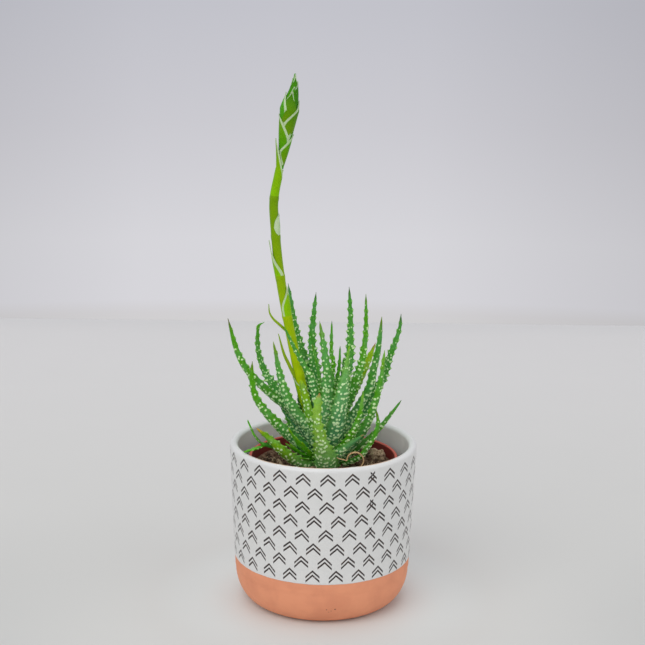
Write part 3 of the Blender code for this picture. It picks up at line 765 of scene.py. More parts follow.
def through(points, count):
    """A smooth line through the points, as a chain of Catmull-Rom cubics, at even steps."""
    p = np.array(points, float)
    p = np.vstack([2 * p[0] - p[1], p, 2 * p[-1] - p[-2]])
    t = np.linspace(0, 1, 24, endpoint=False)[:, None]
    line = [
        b + 0.5 * t * (c - a + t * (2 * a - 5 * b + 4 * c - d + t * (3 * (b - c) + d - a)))
        for a, b, c, d in zip(p[:-3], p[1:-2], p[2:-1], p[3:])
    ]
    line = np.vstack(line + [p[-2:-1]])
    far = np.concatenate([[0], np.cumsum(np.linalg.norm(np.diff(line, axis=0), axis=1))])
    even = np.linspace(0, far[-1], count)
    return np.stack([np.interp(even, far, line[:, k]) for k in range(3)], axis=1), far[-1]


def frames(line, inward):
    """Along a line: unit tangents, the normals of the upper face and the sideways vectors."""
    tangent = np.gradient(line, axis=0)
    tangent /= np.linalg.norm(tangent, axis=1)[:, None]
    inward = np.array(inward, float) / np.linalg.norm(inward)
    normal = inward - tangent * (tangent @ inward)[:, None]
    normal /= np.linalg.norm(normal, axis=1)[:, None]
    return tangent, normal, np.cross(tangent, normal)


def stem_radius(height):
    """Radius of the short stem where a leaf leaves it."""
    return float(np.interp(height, (STEM_SHOULDER, STEM_TOP), (STEM_RADIUS, STEM_NECK)))


print("middle lines: ready")

# %% Leaf section, teeth and warts
RING_STEP = 0.46
SECTION_POINTS = 52
THICK_SHARE = 0.36
LEAST_THICK = 0.8
FACE_RISE = 0.18
TIP_WIDTH = 1.0
TAPER = 0.75
FACE_TURN = 0.9
MARGIN_FADE = (0.15, 0.12, 0.55)
BLADE = ((0, 1), (0.25, 1), (0.65, 0.78), (1, 0.78))
TOOTH = 2.2
TOOTH_HALF = 1.6
TOOTH_THICK = 0.42
TOOTH_LEAN = 0.5
TOOTH_SPACING = (2.9, 4.8)
WART = 0.42
WART_ABOVE = 0.75
WART_RADIUS = 0.70
WART_ROWS = (1.9, 3.0)
WART_SPACING = (1.6, 1.7)
WART_FADE = (0.48, 0.95)
# How far the rows of warts reach to the side, how they bow up at the margins of a leaf 10 mm
# wide, and the height and half width of the low ridge under them
WART_REACH = 0.58
WART_BOW = 0.9
RIDGE = 0.32
RIDGE_HALF = 0.6
# The tip closes over this last share of the length
TIP_CLOSING = 0.955


def leaf_width(share, width, end, taper):
    """Width at a share of the length: full near the root, then a nearly straight taper."""
    clasp = 0.62 + 0.38 * np.clip(share / 0.22, 0, 1)
    return end + (width - end) * clasp * (1 - share) ** taper


def smooth(value, low, high):
    """0 below low, 1 above high and a smooth ramp between."""
    t = np.clip((value - low) / (high - low), 0, 1)
    return t * t * (3 - 2 * t)


def spaced(start, end, near, far, draw):
    """Places from start to end whose spacing grows from near to far, each a little off."""
    places = []
    at = start
    while at < end:
        places.append(at + draw.normal() * 0.16 * near)
        at += near + (far - near) * at / end
    return np.array(places)


def teeth(run_mm, wide, length, draw):
    """Outward moves of one margin: peaks on broad feet, with hollow curves between them."""
    out = np.zeros(len(run_mm))
    mark = np.zeros(len(run_mm))
    for at in spaced(4.0, length - 5.0, *TOOTH_SPACING, draw):
        k = int(round(at / length * (len(run_mm) - 1)))
        high = TOOTH * np.clip(wide[k] / 5.0, 0.25, 1.0) * draw.uniform(0.5, 1.1)
        away = run_mm - run_mm[k]
        peak = np.clip(1 - np.abs(away) / (TOOTH_HALF * draw.uniform(0.8, 1.25)), 0, 1) ** 1.2
        out = np.maximum(out, high * peak)
        mark = np.maximum(mark, np.clip(1.1 - np.abs(away) / 0.8, 0, 1))
    return out, mark


def warts(run_mm, wide, face, length, upper, draw):
    """Heights of 0 to 1 over one face: round bumps in rows that curve up towards the margins,
    dense near the foot and fewer above."""
    height = np.zeros((len(run_mm), len(face)))
    reach = wide[:, None] * WART_REACH
    for row, at in enumerate(spaced(4.0, length - 6.0, *WART_ROWS, draw)):
        k = min(int(at / length * (len(run_mm) - 1)), len(run_mm) - 1)
        count = max(1, int(round(wide[k] * 1.05 / WART_SPACING[upper])))
        spots = (np.arange(count) + 0.5) / count * 1.7 - 0.85 + draw.normal(size=count) * 0.15
        if count == 1:
            spots = np.array([(-1) ** row * 0.3])
        few = smooth(at / length, *WART_FADE)
        for spot in spots[draw.uniform(size=count) > 0.08 + 0.72 * few]:
            rise = at + WART_BOW * spot * spot * wide[k] / 10 + draw.normal() * (0.35 + 0.5 * few)
            radius = min(WART_RADIUS, 0.12 + 0.17 * wide[k]) * draw.uniform(0.65, 1.2) * (1 - 0.2 * few)
            near = ((face[None, :] - spot) * reach) ** 2 + (run_mm[:, None] - rise) ** 2
            height = np.maximum(height, np.exp(-((near / radius ** 2) ** 1.3)))
        ridge = RIDGE * (1 - smooth(at / length, 0.15, 0.45)) * (not upper)
        curve = run_mm[:, None] - at - WART_BOW * face[None, :] ** 2 * wide[k] / 10
        height = np.maximum(height, ridge * np.exp(-((curve / RIDGE_HALF) ** 2)) * (np.abs(face) < 0.9))
    return height


print("leaf grid:", SECTION_POINTS, "points round, a ring every", RING_STEP, "mm")

# %% [markdown]
# ## The leaf's skin
# The section is a flattened ring: with an angle round it, its half width times the cosine goes
# sideways, and its thickness times the sine goes up, less above than below. A power on the
# sine keeps the margin thin. The tint along a leaf goes from the bluish green of its foot, partly
# painted shade, to the fresh green of its upper part and the colour of its tip.


# %% One leaf as a shell
def leaf_shell(line, inward, wide, tints, draw, tooth=1.0, wart=1.0):
    """Carry the section along a line; wide is the width at each point of the line."""
    count = len(line)
    tangent, normal, across = frames(line, inward)
    run_mm = np.concatenate([[0], np.cumsum(np.linalg.norm(np.diff(line, axis=0), axis=1))])
    length = run_mm[-1]
    share = run_mm / length
    wide = wide * (1 - 0.72 * smooth(share, TIP_CLOSING, 1.0))
    thick = np.maximum(wide * THICK_SHARE, LEAST_THICK * (1 - 0.6 * smooth(share, 0.95, 1.0)))
    a = np.linspace(0, 2 * np.pi, SECTION_POINTS, endpoint=False)
    cosine, sine = np.cos(a), np.sin(a)
    over = sine > 0
    lift = np.where(over, FACE_RISE * np.abs(sine) ** 0.9, -np.abs(sine) ** 1.15)
    x = cosine[None] * wide[:, None] / 2
    y = lift[None] * thick[:, None]
    bead = np.where(
        over[None],
        WART_ABOVE * warts(run_mm, wide, -cosine, length, True, draw),
        warts(run_mm, wide, -cosine, length, False, draw),
    ) * np.clip(np.abs(sine) * 2.2, 0, 1)[None] * wart
    out = np.stack([x / np.maximum(wide[:, None], 0.5) ** 2 * 4, y / thick[:, None] ** 2], -1)
    out /= np.maximum(np.linalg.norm(out, axis=-1), 1e-9)[..., None]
    x = x + out[..., 0] * bead * WART
    y = y + out[..., 1] * bead * WART
    spine = np.zeros_like(x)
    for side in (1, -1):
        push, mark = teeth(run_mm, wide, length, draw)
        hug = np.exp(-((y / TOOTH_THICK) ** 2)) * (side * cosine[None] > 0.7)
        x = x + side * push[:, None] * hug * tooth
        spine = np.maximum(spine, mark[:, None] * hug)
    lean = spine * TOOTH_LEAN * tooth
    points = (
        line[:, None] + across[:, None] * x[..., None] + normal[:, None] * y[..., None]
        + tangent[:, None] * lean[..., None]
    )
    low, high, tip, tip_share = tints
    colour = blend(low, high, smooth(share, 0.12, 0.62))
    colour = blend(colour, tip, smooth(share, tip_share, 1.0) ** 1.2)
    margin = (np.abs(cosine) ** 4)[None, :, None]
    skin = colour[:, None] * (1 - margin * np.array(MARGIN_FADE))
    tip_point = line[-1] + tangent[-1] * 0.3
    return closed(points[:, ::-1], line[0], tip_point, {
        "skin": skin[:, ::-1], "bead": bead[:, ::-1], "spine": spine[:, ::-1],
    })


def facing(out):
    """How far a leaf at the side turns its face to the back, or one behind to the front."""
    return abs(out[0]) * (FACE_TURN if out[1] < 0.25 else -FACE_TURN)


def grown(row, tints, draw, end=TIP_WIDTH, taper=TAPER, blade=BLADE, tooth=1.0):
    """A leaf that leaves the stem: width, side in degrees, root height and points to the tip.

    The width of the row takes in the teeth, so the blade between them is slimmer further up:
    blade lists factors of the width by shares of the length.
    """
    width, side, foot, *route = row
    angle = math.radians(side)
    out = np.array([math.cos(angle), math.sin(angle), 0.0])
    root = np.array([0.0, 0.0, foot]) + out * stem_radius(foot) * ROOT_SHARE
    _, length = through([root] + route, 3)
    line, _ = through([root] + route, int(length / RING_STEP))
    inward = (-out[0], -out[1] + facing(out), 0.8)
    share = np.linspace(0, 1, len(line))
    wide = leaf_width(share, width, end, taper) * np.interp(share, *np.array(blade, float).T)
    return leaf_shell(line, inward, wide, tints, draw, tooth)


print("leaf shell: ready")

# %% [markdown]
# ## The rosette
# Twenty-eight leaves show from the front, and six more close the rosette at the back. Each has
# its own place, width and tint. Shaded and older leaves are bluish, partly as painted shade, the
# darkest green on leaves deep in the rosette is painted shade, the upper and younger ones are
# fresh green, and some tips have dried brown, red or orange.

# %% Leaf places
# Each leaf: width, side of the stem in degrees, height of the root, and the points of its
# middle line.
LEAVES = {
    "leaf_front_cut": (15.0, 268, 79, (2, -14, 85.5), (-2.2, -22, 104.8), (-3.9, -24, 118),
                       (-2.6, -24, 129.6)),
    "leaf_broad_front": (13.5, 300, 88, (7, -12, 107), (11, -15, 132), (14, -10, 155)),
    "leaf_left_front": (11.0, 200, 82, (-14, -7, 96), (-24.5, -11, 106.5), (-36.5, -13, 120.5),
                        (-40.8, -13, 133), (-40.6, -14, 145)),
    "leaf_low_orange": (12.5, 215, 79, (-11, -9, 84), (-19, -13, 89.5), (-25.5, -16, 95.8),
                        (-31.5, -16, 101.4), (-38, -17, 106.8)),
    "leaf_left_mid": (11.0, 190, 97, (-16.5, -3, 114), (-23.5, -4, 129), (-29.2, -3, 154)),
    "leaf_right_bright": (9.0, 315, 84, (14, -14, 100), (20, -18, 115), (22, -18, 129)),
    "leaf_right_front": (8.4, 335, 82, (22, -7, 102), (31, -9, 128), (34, -8, 151)),
    "leaf_before_stalk": (8.0, 215, 95, (-7.5, -6, 110), (-10, -6, 120), (-13.3, -5, 132.5)),
    "leaf_over_stalk": (7.4, 255, 98, (-6.5, -7, 130), (-11.6, -8, 141.8), (-16.8, -8, 151),
                        (-22.9, -8, 164)),
    "leaf_front_mid": (9.8, 275, 96, (2, -7, 128), (1, -8, 143), (-3, -6, 167)),
    "leaf_far_left": (10.0, 175, 90, (-17, 1, 111.5), (-29, 1, 121.5), (-43, 1, 135.5), (-49.8, 1, 147.5),
                      (-55.3, 2, 166)),
    "leaf_hooked": (9.4, 155, 95, (-29.3, 10, 124.5), (-37.8, 14, 141), (-38.9, 17, 157), (-35.4, 19, 160.5)),
    "leaf_tall_right": (9.4, 50, 98, (13.4, 8, 136), (14.9, 13, 160), (13.8, 16, 182.5)),
    "leaf_tall_slim": (8.5, 20, 96, (18.5, 3, 131), (23.3, 6, 154), (23.3, 8, 180)),
    "leaf_right_mid": (11.0, 8, 91, (24, 4, 122.5), (28, 4, 136.5), (30.9, 4, 151), (32.5, 5, 167.5)),
    "leaf_right_tall": (8.2, 18, 87, (30.4, 11, 122), (38.8, 12, 145), (43.2, 13, 158.5), (44.0, 13, 167.5)),
    "leaf_tall_left": (9.2, 105, 99, (-5.4, 7, 135), (-7.4, 11, 153), (-5.3, 14, 179.5)),
    "leaf_behind_stalk": (8.8, 140, 98, (-10.6, 9, 137), (-16.5, 13, 157), (-21.5, 17, 184)),
    "leaf_behind_left": (8.0, 165, 96, (-13, 5, 115), (-14.5, 6, 133)),
    "leaf_low_right": (6.4, 355, 79, (27, 1, 97), (36.2, 0, 108), (44.4, -2, 120)),
    "leaf_low_curved": (6.4, 332, 79, (19.5, -11, 88), (24.3, -13, 94), (28.8, -13.5, 101.5),
                        (30.8, -13, 109), (29.9, -13, 117)),
    "leaf_low_broad": (13.0, 300, 79, (6, -11.5, 88.5), (12.3, -14, 95), (22.6, -16, 103.5)),
    "leaf_low_blue": (7.0, 180, 82, (-16, 3, 102), (-25, 5, 113)),
    "leaf_yellowed": (5.0, 40, 90, (22, 16, 130), (30, 26, 147)),
    "leaf_behind_tall": (8.0, 65, 93, (12, 17, 121), (11, 21, 139)),
    "leaf_young_mid": (4.6, 90, 104, (5, 4, 137), (4, 6, 146), (4, 8, 164)),
    "leaf_young_right": (4.6, 45, 104, (8, 6, 133), (9, 9, 149)),
    "leaf_young_left": (4.2, 160, 104, (-3, 2, 132), (-7, 4, 151)),
}
BACK_LEAVES = ((38, 42, 112), (62, 38, 120), (82, 44, 108), (100, 40, 124), (122, 44, 110), (142, 36, 118))
FULL_BLADE = ((0, 1), (1, 0.96))
# Leaves whose width runs another way
SHAPES = {
    "leaf_front_cut": {
        "end": 3.2, "taper": 1.0, "tooth": 0.9,
        "blade": ((0, 1), (0.15, 1.08), (0.3, 1.08), (0.45, 0.88), (0.6, 0.68), (0.74, 0.70), (0.85, 0.86),
                  (1, 0.92)),
    },
    "leaf_broad_front": {"blade": ((0, 1), (0.6, 1), (0.72, 0.85), (0.82, 0.55), (1, 0.5))},
    "leaf_before_stalk": {"end": 1.6, "taper": 0.45, "blade": FULL_BLADE, "tooth": 0.5},
    "leaf_far_left": {"blade": ((0, 1), (0.4, 1.1), (0.6, 1.35), (0.88, 1.35), (1, 1))},
    "leaf_left_front": {"blade": ((0, 1.1), (0.4, 1.2), (0.7, 1.05), (1, 0.96)), "tooth": 1.15},
    "leaf_left_mid": {"blade": ((0, 1), (0.4, 1.15), (0.6, 1.0), (1, 0.8))},
    "leaf_low_orange": {"blade": ((0, 1.1), (0.8, 1.1), (1, 1)), "tooth": 1.3},
    "leaf_low_right": {"blade": ((0, 1), (0.4, 1.3), (1, 1.25))},
    "leaf_low_curved": {"blade": FULL_BLADE},
    "leaf_yellowed": {"blade": ((0, 1), (0.5, 1.2), (0.85, 1.9), (1, 1)), "tooth": 0.6},
    "leaf_right_front": {"blade": FULL_BLADE},
    "leaf_right_mid": {"blade": ((0, 1), (0.4, 1.0), (0.9, 1.15), (1, 1))},
    "leaf_right_tall": {"blade": ((0, 1), (0.4, 1.0), (0.8, 1.05), (1, 1))},
    "leaf_over_stalk": {"blade": ((0, 1), (0.4, 0.85), (1, 0.75)), "tooth": 0.8},
}

# %% Leaf tints
# The bluish green is partly painted shade, on the feet of shaded leaves
BLUE = (0.072, 0.275, 0.115)
# A dark green that is painted shade, for leaves and parts of leaves deep in the rosette
SHADED_GREEN = (0.032, 0.170, 0.026)
MID = (0.070, 0.335, 0.032)
FRESH = (0.090, 0.380, 0.004)
LIME = (0.220, 0.500, 0.006)
YELLOWISH = (0.310, 0.590, 0.065)
GREY = (0.132, 0.405, 0.125)
YOUNG = (0.340, 0.560, 0.004)
LIGHT = (0.105, 0.400, 0.065)
OLIVE = (0.200, 0.340, 0.004)
TIP_BROWN = (0.140, 0.070, 0.020)
TIP_DARK = (0.050, 0.110, 0.020)
TIP_RED = (0.420, 0.080, 0.030)
TIP_ORANGE = (0.700, 0.300, 0.050)
TIP_OLIVE = (0.160, 0.240, 0.010)

# Tints of each leaf: foot, upper part, tip, and the share of the length where the tip begins
TINTS = {
    "leaf_front_cut": (GREY, YELLOWISH, TIP_RED, 0.94),
    "leaf_broad_front": (BLUE, GREY, LIME, 0.55),
    "leaf_left_front": (BLUE, FRESH, TIP_OLIVE, 0.9),
    "leaf_low_orange": (GREY, LIME, TIP_ORANGE, 0.88),
    "leaf_left_mid": (GREY, LIGHT, OLIVE, 0.75),
    "leaf_right_bright": (FRESH, FRESH, LIME, 0.7),
    "leaf_right_front": (BLUE, FRESH, LIME, 0.75),
    "leaf_before_stalk": (MID, LIME, YOUNG, 0.55),
    "leaf_over_stalk": (BLUE, MID, MID, 0.9),
    "leaf_front_mid": (GREY, LIGHT, OLIVE, 0.80),
    "leaf_far_left": (BLUE, FRESH, TIP_BROWN, 0.9),
    "leaf_hooked": (BLUE, MID, FRESH, 0.55),
    "leaf_tall_right": (BLUE, MID, TIP_DARK, 0.9),
    "leaf_tall_slim": (SHADED_GREEN, FRESH, TIP_OLIVE, 0.9),
    "leaf_right_mid": (BLUE, MID, TIP_OLIVE, 0.86),
    "leaf_right_tall": (BLUE, MID, TIP_DARK, 0.9),
    "leaf_tall_left": (BLUE, MID, TIP_DARK, 0.93),
    "leaf_behind_stalk": (BLUE, MID, SHADED_GREEN, 0.9),
    "leaf_behind_left": (SHADED_GREEN, SHADED_GREEN, SHADED_GREEN, 0.9),
    "leaf_low_right": (SHADED_GREEN, FRESH, TIP_DARK, 0.93),
    "leaf_low_curved": (MID, FRESH, TIP_OLIVE, 0.85),
    "leaf_low_broad": (BLUE, GREY, TIP_RED, 0.93),
    "leaf_low_blue": (BLUE, BLUE, SHADED_GREEN, 0.9),
    "leaf_yellowed": (FRESH, YOUNG, TIP_RED, 0.92),
    "leaf_behind_tall": (SHADED_GREEN, MID, MID, 0.9),
    "leaf_young_mid": (MID, FRESH, TIP_DARK, 0.95),
    "leaf_young_right": (LIME, FRESH, TIP_OLIVE, 0.9),
    "leaf_young_left": (FRESH, FRESH, TIP_OLIVE, 0.9),
}
BACK_TINTS = (BLUE, MID, TIP_DARK, 0.92)


def back_row(side, reach, height):
    """A low leaf at the back: it leaves the stem flat and turns up towards its tip."""
    angle = math.radians(side)
    out = (math.cos(angle), math.sin(angle))
    middle = (0.58 * reach * out[0], 0.58 * reach * out[1], 0.5 * (84 + height) - 4)
    return (8.6, side, 82 + (side % 4) * 2, middle, (reach * out[0], reach * out[1], height))


rows = dict(LEAVES)
for number, place in enumerate(BACK_LEAVES):
    rows[f"leaf_back_{number + 1}"] = back_row(*place)
print("rosette:", len(rows), "leaves")

# %% [markdown]
# ## The leaf's finish
# A waxy skin: satin, with a faint bluish bloom that comes and goes in clouds, fine grain, and a
# little light that passes through. Warts and teeth are paler than the skin, and the warts are
# rougher.

# %% Leaf finish
WART_TINT = (0.700, 0.930, 0.490)
SPINE_TINT = (0.440, 0.680, 0.240)
MOTTLE = (0.350, 0.620, 0.220)
BLOOM = (0.125, 0.400, 0.150)
SHADE = (0.02, 0.08, 0.02)
# Light that passes a little way through green flesh, and the greenish sheen of its wax
FLESH = {
    "Subsurface_Weight": 0.12,
    "Subsurface_Scale": 0.0015,
    "Subsurface_Radius": (0.6, 1.0, 0.2),
    "Specular_Tint": (0.75, 1.0, 0.45, 1.0),
}


def leaf_finish(name, bloom=0.28):
    """Waxy green skin, whose tint, warts and teeth the mesh marks."""
    f = Finish(name, Specular_IOR_Level=0.22, **FLESH)
    where = f.place()[3]
    skin = f.mark("skin", "Color")
    cloud = f.noise(where, 6.0)
    fine = f.noise(where, 0.9)
    skin = f.mix(fine.step(0.35, 0.65) * 0.36, skin, f.mix(0.65, skin, SHADE))
    skin = f.mix(cloud.step(0.40, 0.65) * bloom, skin, BLOOM)
    skin = f.mix(f.noise(where, 1.7).step(0.52, 0.66) * 0.20, skin, MOTTLE)
    bead = f.mark("bead")
    skin = f.mix(bead.step(0.20, 0.64) * 0.95, skin, WART_TINT)
    spine = f.mark("spine")
    f.feed("Base Color", f.mix(spine.step(0.25, 0.75) * 0.9, skin, SPINE_TINT))
    f.feed("Roughness", 0.40 + cloud * 0.14 + bead * 0.12)
    f.bump(fine * 0.6 + cloud * 0.4, 0.06)
    return f


LEAF_SEED = 5
green = leaf_finish("leaf_skin")
draw = np.random.default_rng(LEAF_SEED)
faces = 0
for name, row in rows.items():
    shell = grown(row, TINTS.get(name, BACK_TINTS), draw, **SHAPES.get(name, {}))
    made = build(name.replace("leaf", "blade"), shell, green, [name])
    faces += 2 * len(made.data.polygons)
print("rosette:", faces, "triangles")

# %% [markdown]
# ## The flower stalk
# A smooth bar that leans out of the rosette and straightens. At each joint a bract clasps it: a
# thin sheet that wraps the stalk at its foot and narrows to a free tip, green in the middle and
# papery white along its margins. A bract is a grid in two values, the share of its length and
# the share of its half turn round the stalk. Solidify then gives the sheet its thickness.

# %% Stalk line and bract sheets
STALK = (
    (-1, 0, 88), (-6, 1, 103), (-10, 1, 115), (-17, 0, 146), (-25.4, 0, 189.5), (-29, 0, 223),
    (-29.2, 0, 236), (-26.8, 0, 248), (-25.9, 0, 251.9),
)
STALK_HEIGHTS = (94, 160, 235, 252)
STALK_RADII = (3.1, 2.75, 2.5, 1.8)
HEAD = ((-25.8, 0, 252.3), (-25, 0, 257.5), (-23, 0, 271), (-21, 0, 285), (-18.7, 0, 296), (-18, 0, 304.5))
HEAD_RADII = (1.5, 2.0, 3.4, 4.7, 2.0, 0.3)
HEAD_HEIGHTS = tuple(point[2] for point in HEAD)
SHEET_ROWS = 36
SHEET_COLUMNS = 37
SHEET_THICK = 0.3
PAPER = 1.1
HEAD_PAPER = (1.8, 0.0)
TIP_PAPER = (0.35, 0.75)
FOOT_LINE = 0.6
TINT_HEIGHTS = (110, 235)


def axis_at(height):
    """Middle and tangent of the stalk, or above it of the head, at an array of heights."""
    line, _ = through(STALK + HEAD[1:], 400)
    middle = np.stack([np.interp(height, line[:, 2], line[:, k]) for k in range(3)], -1)
    ahead = np.stack([np.interp(height + 1.0, line[:, 2], line[:, k]) for k in range(3)], -1)
    tangent = ahead - middle
    tangent[..., 2] = np.maximum(tangent[..., 2], 0.2)
    return middle, tangent / np.linalg.norm(tangent, axis=-1)[..., None]


def core_radius(height):
    """Radius of the stalk or of the head's core at a height."""
    stalk = np.interp(height, STALK_HEIGHTS, STALK_RADII)
    head = np.interp(height, HEAD_HEIGHTS, HEAD_RADII)
    return np.where(height < HEAD_HEIGHTS[0], stalk, head)


def eased(share, table):
    """Read a table of (share, value) with its corners rounded: the mean of three near readings."""
    at, value = np.array(table, float).T
    return sum(np.interp(share + step, at, value) for step in (-0.05, 0.0, 0.05)) / 3 * (share < 1)


def bract(foot, side, length, stand, turns, paper, tints):
    """A sheet round the stalk, as wide as half its turn on each side of its middle line.

    foot is the height of its root, side the angle of its middle line in degrees, stand how far
    its tip stands off, and turns lists half its turn in degrees by shares of its length. paper
    is the width of the pale margin, and the share of the length where it begins to show. tints
    are those of its foot and its tip.
    """
    s, u = np.meshgrid(np.linspace(0, 1, SHEET_ROWS), np.linspace(-1, 1, SHEET_COLUMNS), indexing="ij")
    t = np.sin(u * np.pi / 2)
    half = np.radians(eased(s, turns))
    angle = np.radians(side) + t * half
    height = foot + length * s - 0.5 * np.abs(t) ** 3 * (1 - s)
    middle, tangent = axis_at(height)
    e1 = np.cross(tangent, (0.0, 1.0, 0.0))
    e1 /= np.linalg.norm(e1, axis=-1)[..., None]
    e2 = np.cross(tangent, e1)
    loose = 0.3 * np.sin(np.pi * np.clip(s * 1.15, 0, 1)) + stand * s ** 1.8
    reach = core_radius(height) + 0.12 + loose * np.cos(t * half / 2) ** 3 + 0.2 * np.abs(t) ** 4 * s
    out = e1 * -np.cos(angle)[..., None] + e2 * -np.sin(angle)[..., None]
    points = middle + out * reach[..., None]
    inset = (1 - np.abs(t)) * half * reach
    pale, start = paper
    margin = (1 - smooth(inset, 0.5 * pale, 1.3 * pale)) * smooth(s, start - 0.06, start + 0.06)
    colour = blend(*tints, s) * (1 - 0.4 * np.exp(-((length * s / FOOT_LINE) ** 2)))[..., None]
    flat = points.reshape(-1, 3)
    marks = {"skin": colour.reshape(-1, 3), "margin": margin.reshape(-1, 1), "vein": (t * 9).reshape(-1, 1)}
    return flat, grid_faces(SHEET_ROWS, SHEET_COLUMNS, False), marks


def bar(line, radii, colour_low, colour_high, sides=36):
    """A smooth bar along a line, with a tint that changes with height."""
    tangent, normal, across = frames(line, (0.0, 1.0, 0.0))
    a = np.linspace(0, 2 * np.pi, sides, endpoint=False)[::-1]
    ring = across[:, None] * np.cos(a)[None, :, None] + normal[:, None] * np.sin(a)[None, :, None]
    points = line[:, None] + ring * radii[:, None, None]
    colour = blend(colour_low, colour_high, smooth(line[:, 2], *TINT_HEIGHTS))
    shape = (len(line), sides, 1)
    return closed(points, line[0] - tangent[0] * 0.2, line[-1] + tangent[-1] * 0.2, {
        "skin": np.broadcast_to(colour[:, None], (len(line), sides, 3)),
        "margin": np.zeros(shape), "vein": np.broadcast_to((a * 4)[None, :, None], shape),
    })


print("bracts:", SHEET_ROWS, "by", SHEET_COLUMNS, "points each")

# %% Stalk
STALK_OLIVE = (0.500, 0.680, 0.002)
STALK_GREEN = (0.200, 0.380, 0.001)
BRACT_GREEN = (0.280, 0.600, 0.001)
BRACT_PALE = (0.480, 0.640, 0.300)
BRACT_THIN = (0.280, 0.430, 0.015)
PAPER_TINT = (0.60, 0.76, 0.46)
VEIN_SHADE = (0.05, 0.14, 0.0)
# Heights of the joints, and how long and how high each one swells
JOINTS = (134.0, 168.0, 191.0, 214.0, 236.0)
JOINT_LENGTH = 1.6
JOINT_SWELL = 0.22

# Each bract: height of its root, side in degrees, length, how far the tip stands off, half its
# turn by shares of its length, width and start of its pale margin, and tints of foot and tip
STALK_BRACTS = (
    (116, 200, 18, 0.8, ((0, 165), (0.5, 150), (0.62, 90), (0.8, 30), (1, 8)), (PAPER, 0.4),
     (STALK_OLIVE, BRACT_GREEN)),
    (168, 330, 17.2, 0.6, ((0, 108), (0.35, 104), (0.5, 82), (0.64, 55), (0.84, 15), (1, 0)), (1.5, 0.0),
     (BRACT_GREEN, BRACT_GREEN)),
    (191, 195, 21.5, 1.4, ((0, 138), (0.12, 122), (0.25, 95), (0.4, 60), (0.58, 28), (0.74, 15), (1, 0)),
     (2.2, 0.0), (BRACT_GREEN, STALK_GREEN)),
    (215, 340, 12, 0.3, ((0, 20), (0.15, 60), (0.4, 80), (0.7, 62), (1, 0)), (4.0, 0.0),
     (BRACT_PALE, BRACT_PALE)),
    (236.5, 200, 32, 2.2, ((0, 165), (0.36, 165), (0.53, 88), (0.68, 50), (1, 0)), (PAPER, 0.36),
     (BRACT_GREEN, STALK_GREEN)),
)
# Thin dried bracts: width, and the points from inside the stalk to the tip
THIN_BRACTS = (
    (2.2, (-14.5, 0, 131), (-17, -2, 134), (-20.3, -3, 140.8), (-23.3, -3, 147.5), (-26.4, -3, 158.7)),
    (1.7, (-20.5, 0, 158.5), (-23.1, 0, 160.9), (-25.7, -1, 163.5), (-29.3, -1, 166.8), (-31.5, -1, 170.5),
     (-32, -1, 175.5)),
)


def bract_finish():
    """Satin green stalk skin, with papery white margins where the mesh says so."""
    f = Finish("stalk_skin", Specular_IOR_Level=0.18, **FLESH)
    where = f.place()[3]
    skin = f.mark("skin", "Color")
    vein = (f.mark("vein") * 6.28).math("SINE") * 0.5 + 0.5
    cloud = f.noise(where, 5.0)
    skin = f.mix(vein * 0.16 + cloud.step(0.4, 0.7) * 0.22, skin, f.mix(0.5, skin, VEIN_SHADE))
    margin = (f.mark("margin") + (f.noise(where, 1.2) - 0.5) * 0.25).step(0.25, 0.75)
    f.feed("Base Color", f.mix(margin * 0.85, skin, PAPER_TINT))
    f.feed("Roughness", 0.38 + margin * 0.2 + cloud * 0.1)
    f.bump(vein * 0.5 + cloud * 0.5, 0.08)
    return f


def stalk_line():
    """Middle line and radii of the stalk, which swells a little at each joint."""
    line, _ = through(STALK, 230)
    radii = np.interp(line[:, 2], STALK_HEIGHTS, STALK_RADII)
    swell = sum(np.exp(-((line[:, 2] - joint) / JOINT_LENGTH) ** 2) for joint in JOINTS)
    return line, radii + JOINT_SWELL * swell


def strand(route, inward, wide, thick, sides, twist=0.0):
    """A thin two-edged strip along a smooth line: at each point an ellipse, wide to the side and
    thick upwards, turned about the line by twist. wide holds half the width at each point."""
    line, _ = through(route, len(wide))
    _, normal, across = frames(line, inward)
    a = np.linspace(0, 2 * np.pi, sides, endpoint=False)[::-1]
    x = np.cos(a)[None] * wide[:, None]
    y = np.sin(a)[None] * thick * np.ones((len(wide), 1))
    turn = np.broadcast_to(twist, len(wide))[:, None]
    u, v = x * np.cos(turn) - y * np.sin(turn), x * np.sin(turn) + y * np.cos(turn)
    return line, line[:, None] + across[:, None] * u[..., None] + normal[:, None] * v[..., None]


def thin_bract(width, *route):
    """A dried bract: a narrow strand that tapers to its tip."""
    share = np.linspace(0, 1, 60)
    line, points = strand(route, (0.3, -1.0, 0.3), width / 2 * (1 - share ** 2.2 * 0.8), 0.3, 12)
    plain = np.zeros((*points.shape[:2], 1))
    skin = np.broadcast_to(np.array(BRACT_THIN), points.shape)
    return closed(points, line[0], line[-1], {"skin": skin, "margin": plain, "vein": plain})


def solid_sheet(item, thick):
    """Give a sheet its thickness, inwards."""
    step = item.modifiers.new("thickness", "SOLIDIFY")
    step.thickness = thick * MM
    step.offset = -1.0


skin = bract_finish()
line, radii = stalk_line()
bars = [bar(line, radii, STALK_OLIVE, STALK_GREEN)] + [thin_bract(*row) for row in THIN_BRACTS]
stalk = build("stalk_bar", stack(bars), skin, ["flower_stalk"])
wraps = build("stalk_bracts", stack([bract(*row) for row in STALK_BRACTS]), skin, [])
solid_sheet(wraps, SHEET_THICK)
print("stalk:", len(stalk.data.polygons) + 2 * len(wraps.data.polygons), "faces")

# %% [markdown]
# ## The flower head
# The buds are still closed under their bracts, which overlap like tiles up to a point. The core
# is a spindle, and each bract on it is the same sheet as on the stalk, broader and shorter. In
# front they come from the right and the left by turns, and their pale margins draw the zigzag
# that runs up the head.

# %% Head
HEAD_GREEN = (0.078, 0.380, 0.001)
HEAD_OLIVE = (0.175, 0.355, 0.001)
HEAD_DARK = (0.042, 0.220, 0.002)
CORE_ROUNDING = 6
